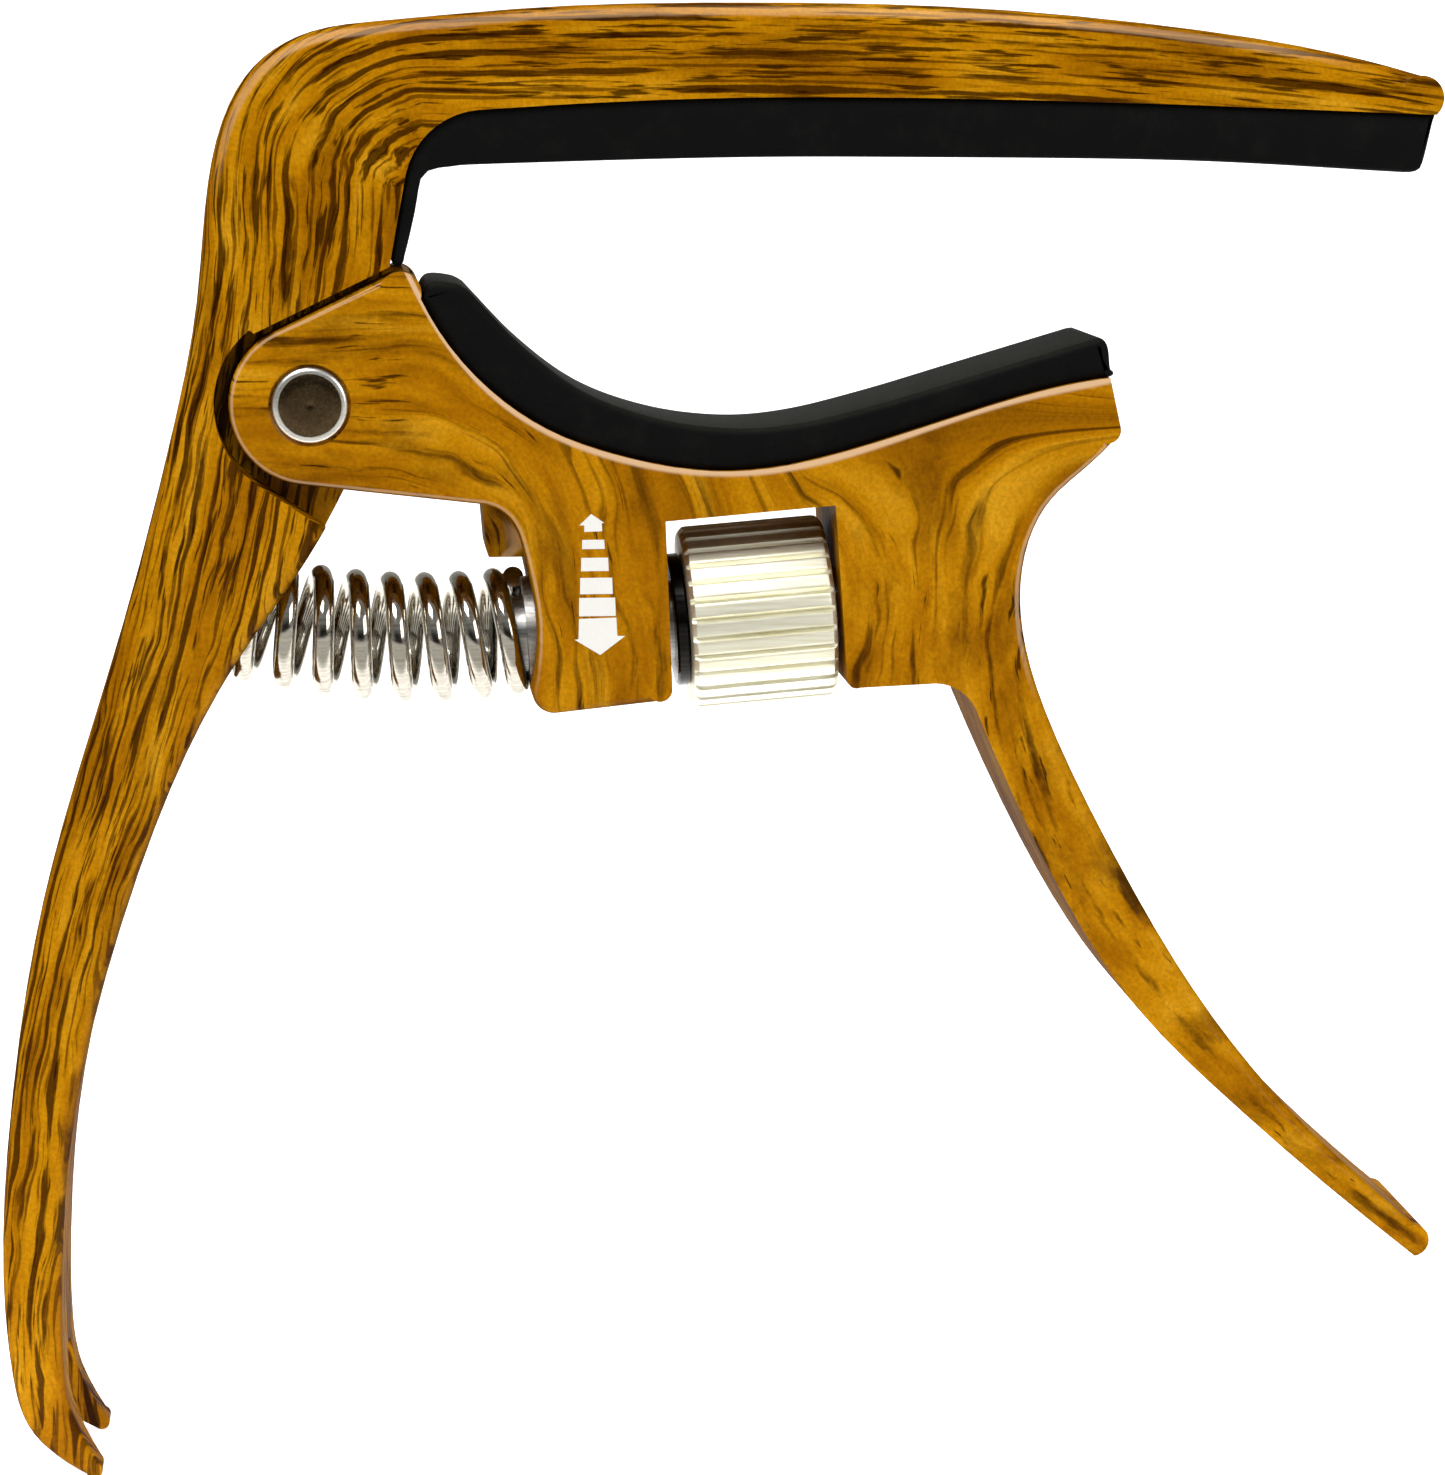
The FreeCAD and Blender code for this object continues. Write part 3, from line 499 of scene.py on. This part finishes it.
    # painted shade: the sides are darkened towards dark brown, the undersides most
    painted_shade_under = node("MapRange", upward, 0.3, -0.4, interpolation_type="SMOOTHSTEP")
    painted_shade_under = node("Math", painted_shade_under, 0.5, 0.2, operation="MULTIPLY_ADD")
    side = node("MapRange", facing, 0.8, 0.3, interpolation_type="SMOOTHSTEP")
    side = node("Math", side, painted_shade_under, operation="MULTIPLY")
    for amount, paint in ((rim_and_highlight, "#E0B88C"), (line, "#DDB68C"), (side, "#3A1C00")):
        colour = node("Mix", {0: amount, 6: colour, 7: linear(paint)}, output=2, data_type="RGBA")
    ripple = node("TexNoise", {"Vector": place, "Scale": 0.9, "Detail": 2.0})
    look = {
        "Base Color": colour,
        "Roughness": 0.4,
        "Specular IOR Level": 0.0,
        "Coat Weight": 0.07,
        "Coat Roughness": 0.2,
        "Normal": node("Bump", {"Height": ripple, "Distance": 0.04 * MM, "Strength": 0.3}),
    }
    node("OutputMaterial", node("BsdfPrincipled", look))
    return material


def moulded_rubber(name, colour):
    """Moulded silicone rubber: near black, soft broad sheen, faint grit of the mould."""
    material, node, place = new_material(name)
    grit = node("TexNoise", {"Vector": place, "Scale": 6.0, "Detail": 3.0, "Roughness": 0.6})
    dust = node("TexNoise", {"Vector": place, "Scale": 0.45, "Detail": 4.0, "Roughness": 0.65})
    dusty = node("MapRange", dust, 0.45, 0.8, interpolation_type="SMOOTHSTEP")
    # up-facing faces are lightened towards grey, more where the dust noise is high
    upward = node("SeparateXYZ", node("NewGeometry", output="Normal"), output=2)
    upward = node("MapRange", upward, 0.3, 0.9, interpolation_type="SMOOTHSTEP")
    lighter_upward = node("Math", dust, 0.8, 0.3, operation="MULTIPLY_ADD")
    lighter_upward = node("Math", upward, lighter_upward, operation="MULTIPLY")
    tint = (*colour, 1.0)
    for amount, paint in ((dusty, "#0F0F0E"), (lighter_upward, "#22221C")):
        tint = node("Mix", {0: amount, 6: tint, 7: linear(paint)}, output=2, data_type="RGBA")
    look = {
        "Base Color": tint,
        "Roughness": node("Math", grit, 0.2, 0.5, operation="MULTIPLY_ADD"),
        "Specular IOR Level": 0.08,
        "Normal": node("Bump", {"Height": grit, "Distance": 0.06 * MM, "Strength": 0.6}),
    }
    node("OutputMaterial", node("BsdfPrincipled", look))
    return material


def plated_metal(name, light, dark, roughness, along_x=0.0, grain=0.0):
    """Nickel-chrome plate over steel: bright, with drawing or turning marks where grain is given."""
    material, node, place = new_material(name)
    x, y, z = node("SeparateXYZ", place, output=slice(3))
    streaks = node("CombineXYZ", node("Math", x, along_x, operation="MULTIPLY"), y, z)
    marks = node("TexNoise", {"Vector": streaks, "Scale": 5.0, "Detail": 3.0, "Roughness": 0.6})
    look = {
        "Base Color": node("ValToRGB", marks, stops=[(0.3, dark), (0.62, light)]),
        "Metallic": 1.0,
        "Roughness": node("Math", marks, 0.12, roughness, operation="MULTIPLY_ADD"),
    }
    if grain > 0:
        look["Normal"] = node("Bump", {"Height": marks, "Distance": grain, "Strength": 0.5})
    node("OutputMaterial", node("BsdfPrincipled", look))
    return material


def printed_ink(name, colour):
    """Screen-printed white ink under the lacquer, a little uneven at its edges."""
    material, node, place = new_material(name)
    grit = node("TexNoise", {"Vector": place, "Scale": 5.0, "Detail": 3.0})
    amount = node("Math", grit, 0.25, operation="MULTIPLY")
    inputs = {0: amount, 6: (*colour, 1.0), 7: linear("#DCD8CC")}
    look = {
        "Base Color": node("Mix", inputs, output=2, data_type="RGBA"),
        "Roughness": 0.4,
        "Normal": node("Bump", {"Height": grit, "Distance": 0.02 * MM, "Strength": 0.4}),
    }
    node("OutputMaterial", node("BsdfPrincipled", look))
    return material


def natural_nylon(name):
    """Stamped nylon washer: milky white, satin, slightly mottled."""
    material, node, place = new_material(name)
    cloud = node("TexNoise", {"Vector": place, "Scale": 1.2, "Detail": 3.0})
    look = {
        "Base Color": node("ValToRGB", cloud, stops=[(0.3, "#C9C5B8"), (0.7, "#E4E1D6")]),
        "Roughness": 0.5,
        "Normal": node("Bump", {"Height": cloud, "Distance": 0.03 * MM, "Strength": 0.4}),
    }
    node("OutputMaterial", node("BsdfPrincipled", look))
    return material


def studio_paper(name, floor):
    """Matt backdrop paper with a painted pool of light: white and glowing under and behind the object,
    painted pale grey around it.
    """
    material, node, place = new_material(name)
    fibre = node("TexNoise", {"Vector": place, "Scale": 0.02, "Detail": 3.0})
    dim = node("ValToRGB", fibre, stops=[(0.3, "#BDBCB8"), (0.7, "#C4C3BF")])
    x, y, z = node("SeparateXYZ", place, output=slice(3))
    sideways = node("Math", y, -0.1, x, operation="MULTIPLY_ADD")
    sideways = node("Math", sideways, operation="ABSOLUTE")
    sideways = node("Math", y, -0.2, sideways, operation="MULTIPLY_ADD")
    low = floor / MM
    # painted pool of light: 1 where the paper is made white and glowing, near the object
    painted_pool = node("MapRange", y, -55.0, -15.0, interpolation_type="SMOOTHSTEP")
    for value, dark_end, lit_end in ((z, low + 230.0, low + 100.0), (sideways, 170.0, 105.0)):
        limit = node("MapRange", value, dark_end, lit_end, interpolation_type="SMOOTHSTEP")
        painted_pool = node("Math", painted_pool, limit, operation="MULTIPLY")
    inputs = {0: painted_pool, 6: dim, 7: linear("#FFFFFF")}
    look = {
        "Base Color": node("Mix", inputs, output=2, data_type="RGBA"),
        "Emission Color": linear("#FFFFFF"),
        "Emission Strength": node("Math", painted_pool, 0.8, operation="MULTIPLY"),
        "Roughness": 0.9,
    }
    node("OutputMaterial", node("BsdfPrincipled", look))
    return material


# ---- pieces ----------------------------------------------------------------------------------------


def recoat(name, material):
    """Gives a CAD node that stays in the picture its finished material."""
    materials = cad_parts[name].data.materials
    materials.clear()
    materials.append(material)


def merged_casting(node, name, material, body, softening):
    """A casting's own shape as one joined mesh: each flat in one face, the sharp edges softened."""
    work = bmesh.new()
    work.from_mesh(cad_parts[node].data)
    bmesh.ops.remove_doubles(work, verts=work.verts, dist=0.001 * MM)
    bmesh.ops.dissolve_limit(
        work,
        angle_limit=math.radians(0.4),
        verts=work.verts,
        edges=work.edges,
        use_dissolve_boundaries=False,
    )
    half = max(abs(v.co.y) for v in work.verts)

    def hard_on_side(edge):
        """Whether an edge lies in a flat side and turns by more than 50 degrees."""
        on_side = all(abs(abs(v.co.y) - half) < 0.002 * MM for v in edge.verts)
        return on_side and len(edge.link_faces) == 2 and edge.calc_face_angle(0) > math.radians(50)

    hard = [edge for edge in work.edges if hard_on_side(edge)]
    if hard:
        bmesh.ops.bevel(
            work,
            geom=hard,
            offset=softening,
            offset_type="OFFSET",
            segments=3,
            profile=0.5,
            affect="EDGES",
            clamp_overlap=True,
        )
    mesh = bpy.data.meshes.new(name)
    work.to_mesh(mesh)
    work.free()
    piece = finish_piece(name, mesh, material, body, 32.0)
    weighted = piece.modifiers.new("Even shading", "WEIGHTED_NORMAL")
    weighted.keep_sharp = True
    weighted.weight = 80
    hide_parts(node)
    return piece


class CAPO_OT_arms(bpy.types.Operator):
    """Both castings in wood-grain print"""

    bl_idname = "capo.arms"
    bl_label = "Arms"

    def execute(self, context):
        softening = context.scene.capo_sizes.edge_softening
        tones = ("#865100", "#A66A02", "#BC7F06", "#D2971B")
        name = "Wood-grain transfer print"
        upper = wood_print(
            f"{name}, upper arm",
            upper_grain,
            no_line,
            tones,
            spacing=1.1,
            coverage=0.1,
            pores_cover=0.06,
            soft=0.1,
            swirl=4.0,
            cloud=0.4,
            rim_light=0.3,
            rim_from=14.0,
        )
        lower = wood_print(
            f"{name}, lower arm",
            lower_grain,
            cradle_line,
            tones,
            spacing=1.5,
            coverage=0.05,
            pores_cover=-0.02,
            soft=0.2,
            swirl=7.0,
            cloud=0.6,
            rim_light=0.5,
            rim_from=-18.0,
        )
        merged_casting("upper_arm", "upper_arm_casting", upper, "upper_arm", softening)
        merged_casting("lower_arm", "lower_arm_casting", lower, "lower_arm", softening)
        return {"FINISHED"}


PAD_HALF_WIDTH = 5.4


class CAPO_OT_pads(bpy.types.Operator):
    """The two rubber pads"""

    bl_idname = "capo.pads"
    bl_label = "Rubber pads"

    def execute(self, context):
        sizes, finish = context.scene.capo_sizes, context.scene.capo_finish
        rubber = moulded_rubber("Moulded silicone rubber", finish.rubber_black)
        radius = sizes.pad_round / MM
        playing = [(42.4, 15.72), (28.1, 16.5), (10.7, 16.75), (-0.7, 16.75), (-15.0, 16.4)]
        playing += [(-17.4, 16.25), (-18.5, 16.1), (-19.15, 15.75), (-19.4, 15.0), (-19.65, 13.6)]
        playing += [(-20.1, 11.7), (-20.32, 10.9)]
        foot = [(-20.32, 10.9), (-20.45, 10.4), (-20.8, 10.15), (-21.12, 10.4), (-21.17, 10.8)]
        bed = [(-21.17, 10.8), (-20.85, 12.5), (-20.2, 15.85), (-19.7, 17.3), (-18.6, 18.6)]
        bed += [(-17.2, 19.4), (-15.7, 19.7), (-9.0, 20.1), (-0.7, 20.4), (13.6, 20.35)]
        bed += [(28.1, 19.95), (44.2, 19.3)]
        nose = [(44.2, 19.3), (44.05, 18.7), (43.5, 16.3), (43.1, 15.8), (42.4, 15.72)]
        outline, fill = strip_outline(playing, foot, bed, nose, 100, 14)
        points, faces = rounded_slab(outline, fill, PAD_HALF_WIDTH, min(radius, 0.3), 4)
        pad = add_piece("fretboard_pad_rubber", points, faces, rubber, "upper_arm", 60.0)
        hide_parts("fretboard_pad")
        cradle = [(-19.4, 8.2), (-18.25, 6.2), (-16.94, 4.36), (-15.4, 2.75), (-11.5, 0.0)]
        cradle += [(-7.0, -1.65), (-3.62, -2.38), (-0.2, -2.65), (3.93, -2.21), (8.0, -1.2)]
        cradle += [(13.8, 0.6), (17.06, 1.59), (20.37, 2.44), (23.75, 3.0)]
        lip = [(23.75, 3.0), (24.0, 3.1), (24.1, 3.3), (23.85, 3.55), (23.75, 4.5), (23.6, 5.1)]
        lip += [(23.25, 5.45), (22.8, 5.42)]
        bearing = [(22.8, 5.42), (15.4, 3.25), (9.4, 1.5), (4.3, 0.3), (0.0, 0.0), (-4.7, 0.65)]
        bearing += [(-9.2, 2.3), (-13.0, 5.1), (-16.5, 8.75)]
        end = [(-16.5, 8.75), (-17.2, 9.1), (-18.5, 9.25), (-19.1, 8.95), (-19.4, 8.2)]
        outline, fill = strip_outline(cradle, lip, bearing, end, 90, 18)
        points, faces = rounded_slab(outline, fill, PAD_HALF_WIDTH, min(radius, 0.5), 6)
        pad = add_piece("neck_pad_rubber", points, faces, rubber, "lower_arm", 60.0)
        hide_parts("neck_pad")
        return {"FINISHED"}


PIVOT = np.array([-26.3, 0.0, 1.7])
PIN_SIDES = 96


class CAPO_OT_pin(bpy.types.Operator):
    """The cross pin with its bright rim and the washers beside the tongue"""

    bl_idname = "capo.pin"
    bl_label = "Pivot pin"

    def execute(self, context):
        bright = plated_metal("Turned steel rim, nickel plated", "#FAF8F2", "#DDDAD0", 0.26)
        # the pin's polished face is given a dark brown metal colour: a painted reflection of the dark
        # room it faces
        dark = plated_metal("Pin face, painted dark reflection", "#66543C", "#4F402C", 0.2, 1.0)
        half, radius = 5.8, 2.4
        profile = [(-half + 0.12, 1.9), (-half, 1.96), (-half, 2.15), (-half + 0.1, 2.3)]
        profile += [(-half + 0.35, radius)]
        profile += [(-x, r) for x, r in profile[::-1]]
        points, faces = turned(profile, PIVOT, (0, 1, 0), PIN_SIDES)
        faces = close_ends(faces, len(profile), PIN_SIDES)
        pin = add_piece("pivot_pin_turned", points, faces, bright, "lower_arm", 35.0)
        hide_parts("pivot_pin")
        for name, way in (("pin_face_front", -1), ("pin_face_rear", 1)):
            face = [(0.0, 1.93), (0.05, 1.93), (0.08, 1.85), (0.1, 1.2), (0.11, 0.4), (0.11, 0.12)]
            face += [(0.09, 0.04)]
            origin = PIVOT + np.array([0, way * (half - 0.14), 0])
            points, faces = turned(face, origin, (0, way, 0), PIN_SIDES)
            faces = close_ends(faces, len(face), PIN_SIDES)
            disc = add_piece(name, points, faces, dark, "lower_arm", 35.0)
        nylon = natural_nylon("Stamped nylon")
        for node in ("pivot_washer_front", "pivot_washer_rear"):
            recoat(node, nylon)
        return {"FINISHED"}


SLOPE = math.radians(4.5)
SCREW_AXIS = np.array([math.cos(SLOPE), 0.0, math.sin(SLOPE)])
WHEEL_CENTRE = np.array([1.95, 0.0, -12.3])


class CAPO_OT_adjuster(bpy.types.Operator):
    """Thumbwheel, thrust collar, tension screw and spring seat"""

    bl_idname = "capo.adjuster"
    bl_label = "Adjuster"

    def execute(self, context):
        ridges = context.scene.capo_sizes.wheel_ridges
        name = "Satin nickel plate, knurled wheel"
        satin = plated_metal(name, "#FFFDEB", "#F0EACD", 0.42, 0.04, 0.01 * MM)
        black = plated_metal("Black nickel collar", "#2E2C2A", "#151413", 0.18)
        zinc = plated_metal("Bright zinc plate", "#C9C8C4", "#8F8E89", 0.3, 0.2)
        half, radius, bore_radius, groove = 4.6, 5.9, 2.6, 0.368
        # ridges: the radius drops by the groove's depth in a narrow cosine dip between flats
        along = np.array([-half, -half, -half + 0.06, -half + 0.3, -half + 0.55, 0.0])
        share = np.array([0.0, 0.0, 0.12, 0.85, 1.0, 1.0])
        outer = np.array([2.7, radius - 0.42, radius - 0.3, radius - 0.04, radius, radius])
        along = np.r_[along, -along[-2::-1]]
        share = np.r_[share, share[-2::-1]]
        outer = np.r_[outer, outer[-2::-1]]
        steps = 12
        turn = np.linspace(0, 2 * np.pi, ridges * steps, endpoint=False)
        phase = (turn * ridges / (2 * np.pi)) % 1.0
        dip = np.cos(np.clip((phase - 0.5) / 0.19, -1, 1) * np.pi / 2) ** 1.5
        flat = 1 / np.cos((np.where(phase < 0.5, phase, phase - 1.0)) * 2 * np.pi / ridges)
        side = np.array([0.0, 1.0, 0.0])
        up = np.cross(SCREW_AXIS, side)
        ring = np.cos(turn)[:, None] * side + np.sin(turn)[:, None] * up
        reach = outer[:, None] * np.where(share[:, None] > 0.1, flat[None] * 0.996, 1.0)
        reach = reach - share[:, None] * groove * dip[None]
        points = WHEEL_CENTRE + along[:, None, None] * SCREW_AXIS + reach[..., None] * ring[None]
        ends = np.array([half, -half])[:, None, None]
        bore = WHEEL_CENTRE + ends * SCREW_AXIS + bore_radius * ring[None]
        points = np.vstack([points, bore])
        rows, columns = points.shape[:2]
        faces = grid_faces(rows, columns, close_rows=True, close_columns=True)
        points = points.reshape(-1, 3) * MM
        wheel = add_piece("thumbwheel_knurled", points, faces, satin, "thumbwheel", 28.0)
        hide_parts("thumbwheel")
        for node, finish in (("thrust_collar", black), ("tension_screw", zinc), ("spring_seat", zinc)):
            recoat(node, finish)
        return {"FINISHED"}


class CAPO_OT_spring(bpy.types.Operator):
    """The coil spring, bowed downwards between the handle and the seat"""

    bl_idname = "capo.spring"
    bl_label = "Tension spring"

    def execute(self, context):
        chrome = plated_metal("Chromed spring wire", "#CCC7BB", "#A9A396", 0.06)
        wire = context.scene.capo_sizes.spring_wire / MM / 2
        radius, pitch, top = 3.525, 2.36, -14.5
        low, high = -35.3, -13.55
        # the axis is a parabola under its middle, and nearly straight left of the bend
        axis_low, bow, middle, bend = -13.65, 0.0112, -19.0, -30.5
        wire_sides = 20
        # turns count from a top; the axis point moves one pitch a turn and closes up at both ends
        turns = np.linspace(-8.35, 0.95, 1400)
        x = top + pitch * turns
        squeeze_right = np.maximum(turns + 0.1, 0.0)
        x = x - pitch * squeeze_right**2 / 2.1
        squeeze_left = np.maximum(-7.2 - turns, 0.0)
        x = np.maximum(x + pitch * squeeze_left**2 / 2.3 * 0.8, low + wire)
        x = np.minimum(x, high)
        z = axis_low + bow * (x - middle) ** 2
        beyond_bend = axis_low + bow * (bend - middle) ** 2 + bow * (bend - middle) / 2 * (x - bend)
        z = np.where(x < bend, beyond_bend, z)
        slope = np.gradient(z, turns) / np.gradient(x, turns).clip(0.2)
        length = np.sqrt(1 + slope**2)
        up = np.stack([-slope / length, 0 * x, 1 / length], axis=1)
        angle = 2 * np.pi * turns
        front = np.array([0.0, -1.0, 0.0])
        centre = np.stack([x, 0 * x, z], axis=1)
        line = centre + radius * (np.cos(angle)[:, None] * up + np.sin(angle)[:, None] * front)
        tangent = np.gradient(line, axis=0)
        tangent /= np.linalg.norm(tangent, axis=1, keepdims=True)
        out = line - centre
        out -= np.sum(out * tangent, axis=1, keepdims=True) * tangent
        out /= np.linalg.norm(out, axis=1, keepdims=True)
        across = np.cross(tangent, out)
        around = np.linspace(0, 2 * np.pi, wire_sides, endpoint=False)[None, :, None]
        ring = np.cos(around) * out[:, None] + np.sin(around) * across[:, None]
        points = (line[:, None] + wire * ring).reshape(-1, 3) * MM
        faces = grid_faces(len(line), wire_sides, close_columns=True)
        faces = close_ends(faces, len(line), wire_sides)
        spring = add_piece("tension_spring_coil", points, faces, chrome, None, 60.0)
        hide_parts("tension_spring")
        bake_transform(spring)
        return {"FINISHED"}


FRONT_FACE = -5.7


def ink_patch(points, depth):
    """A flat closed patch of ink with a straight outline, standing off the front face by the depth
    and sunk 0.05 mm into it."""
    outline = np.asarray(points, float)
    count = len(outline)
    y = np.repeat([FRONT_FACE - depth, FRONT_FACE + 0.05], count)
    xz = np.vstack([outline, outline])
    faces = grid_faces(2, count, close_columns=True)
    faces += [list(range(count))[::-1], list(range(count, 2 * count))]
    return np.stack([xz[:, 0], y, xz[:, 1]], axis=1) * MM, faces


class CAPO_OT_arrow(bpy.types.Operator):
    """The printed double arrow that shows which way the wheel tightens"""

    bl_idname = "capo.arrow"
    bl_label = "Printed arrow"

    def execute(self, context):
        ink = printed_ink("White screen-print ink", context.scene.capo_finish.print_white)
        up = [(-8.96, -5.21), (-9.71, -5.92), (-9.40, -5.92), (-9.40, -6.33), (-8.28, -6.30)]
        up += [(-8.30, -5.80), (-8.15, -5.78)]
        # each bar's left and right end, then its top and bottom
        bars = [((-9.53, -8.16), (-6.83, -7.41)), ((-9.60, -7.92), (-7.96, -8.80))]
        bars += [((-9.67, -7.67), (-9.22, -10.25)), ((-9.74, -7.49), (-10.48, -11.64))]
        down = [(-9.76, -11.80), (-7.42, -11.75), (-7.36, -12.90), (-6.87, -12.92), (-8.44, -14.10)]
        down += [(-10.04, -13.12), (-9.80, -13.08)]
        bars = [[(l, t), (r, t), (r + 0.04, b), (l - 0.02, b)] for (l, r), (t, b) in bars]
        shapes = [up, *bars, down]
        for number, shape in enumerate(shapes, start=1):
            points, faces = ink_patch(shape, 0.03)
            patch = add_piece(f"arrow_print_{number}", points, faces, ink, "lower_arm", 30.0)
        return {"FINISHED"}


class CAPO_OT_stage(bpy.types.Operator):
    """White sweep, soft lights and the camera"""

    bl_idname = "capo.stage"
    bl_label = "Stage"

    def execute(self, context):
        scene = context.scene
        low = CAD_BOX[0][2] - 0.4 * MM
        paper = studio_paper("Matt backdrop paper", low)
        # sweep: flat floor, then a quarter circle up into a wall
        turn = np.radians(np.linspace(0, 90, 24))
        depth = np.r_[-1.6, 0.0, 0.5, 0.5 + 0.5 * np.sin(turn), 1.0]
        rise = np.r_[0, 0, 0, 0.5 * (1 - np.cos(turn)), 2.4]
        side = np.array([-2.2, 2.2])
        corners = np.broadcast_arrays(side[None, :], depth[:, None], low + rise[:, None])
        points = np.stack(corners, axis=-1)
        mesh = bpy.data.meshes.new("backdrop")
        mesh.from_pydata(points.reshape(-1, 3).tolist(), [], grid_faces(len(depth), 2))
        mesh.polygons.foreach_set("use_smooth", np.ones(len(mesh.polygons), bool))
        mesh.materials.append(paper)
        sweep = bpy.data.objects.new("backdrop", mesh)
        scene.collection.objects.link(sweep)
        soft_light("key_softbox", (-0.30, -0.50, 0.70), (0, 0, -0.01), 0.45, 0.3, 6.0)
        soft_light("fill_softbox", (0.65, -0.55, 0.30), (0, 0, -0.02), 0.5, 0.4, 3.0)
        soft_light("top_softbox", (-0.1, 0.10, 0.8), (0, 0, 0), 0.6, 0.25, 3.0)
        world = bpy.data.worlds.new("Studio")
        world.use_nodes = True
        world.node_tree.nodes.clear()
        node = partial(add_node, world.node_tree)
        way = node("TexCoord", output="Generated")
        _, y, z = node("SeparateXYZ", way, output=slice(3))
        behind_camera = node("MapRange", y, -0.55, -0.95, interpolation_type="SMOOTHSTEP")
        not_above = node("MapRange", z, 0.45, 0.1, interpolation_type="SMOOTHSTEP")
        dark = node("Math", behind_camera, not_above, operation="MULTIPLY")
        inputs = {0: dark, 6: linear("#FFFFFF"), 7: linear("#453F38")}
        tint = node("Mix", inputs, output=2, data_type="RGBA")
        node("OutputWorld", node("Background", {"Color": tint, "Strength": 0.24}))
        scene.world = world
        scene.view_settings.view_transform = "Standard"
        data = bpy.data.cameras.new("camera")
        data.sensor_width = 36.0
        data.lens = 99.8
        data.clip_start = 0.01
        data.clip_end = 20.0
        camera = bpy.data.objects.new("camera", data)
        camera.location = (-0.02582, -0.25891, 0.023565)
        look = Vector((0.0972, 0.9812, -0.1668))
        camera.rotation_euler = look.to_track_quat("-Z", "Y").to_euler()
        scene.collection.objects.link(camera)
        scene.camera = camera
        return {"FINISHED"}


def soft_light(name, place, target, width, height, power):
    """A rectangular softbox aimed at a point."""
    data = bpy.data.lights.new(name, "AREA")
    data.shape = "RECTANGLE"
    data.size = width
    data.size_y = height
    data.energy = power
    light = bpy.data.objects.new(name, data)
    light.location = place
    light.rotation_euler = (Vector(target) - Vector(place)).to_track_quat("-Z", "Y").to_euler()
    bpy.context.scene.collection.objects.link(light)
    return light


class CAPO_PT_panel(bpy.types.Panel):
    """Lists the pieces"""

    bl_idname = "CAPO_PT_panel"
    bl_label = "Guitar capo"
    bl_space_type = "VIEW_3D"
    bl_region_type = "UI"
    bl_category = "Capo"

    def draw(self, context):
        for operator in OPERATORS:
            self.layout.operator(operator.bl_idname)
        for group in (context.scene.capo_sizes, context.scene.capo_finish):
            for name in group.__annotations__:
                self.layout.prop(group, name)


OPERATORS = [
    CAPO_OT_arms,
    CAPO_OT_pads,
    CAPO_OT_pin,
    CAPO_OT_adjuster,
    CAPO_OT_spring,
    CAPO_OT_arrow,
    CAPO_OT_stage,
]
CLASSES = [CapoSizes, CapoFinish, *OPERATORS, CAPO_PT_panel]


def register():
    for cls in CLASSES:
        bpy.utils.register_class(cls)
    bpy.types.Scene.capo_sizes = PointerProperty(type=CapoSizes)
    bpy.types.Scene.capo_finish = PointerProperty(type=CapoFinish)


def unregister():
    del bpy.types.Scene.capo_finish
    del bpy.types.Scene.capo_sizes
    for cls in reversed(CLASSES):
        bpy.utils.unregister_class(cls)


def main():
    register()
    bpy.ops.capo.arms()
    bpy.ops.capo.pads()
    bpy.ops.capo.pin()
    bpy.ops.capo.adjuster()
    bpy.ops.capo.spring()
    bpy.ops.capo.arrow()
    bpy.ops.capo.stage()


if __name__ == "__main__":
    main()
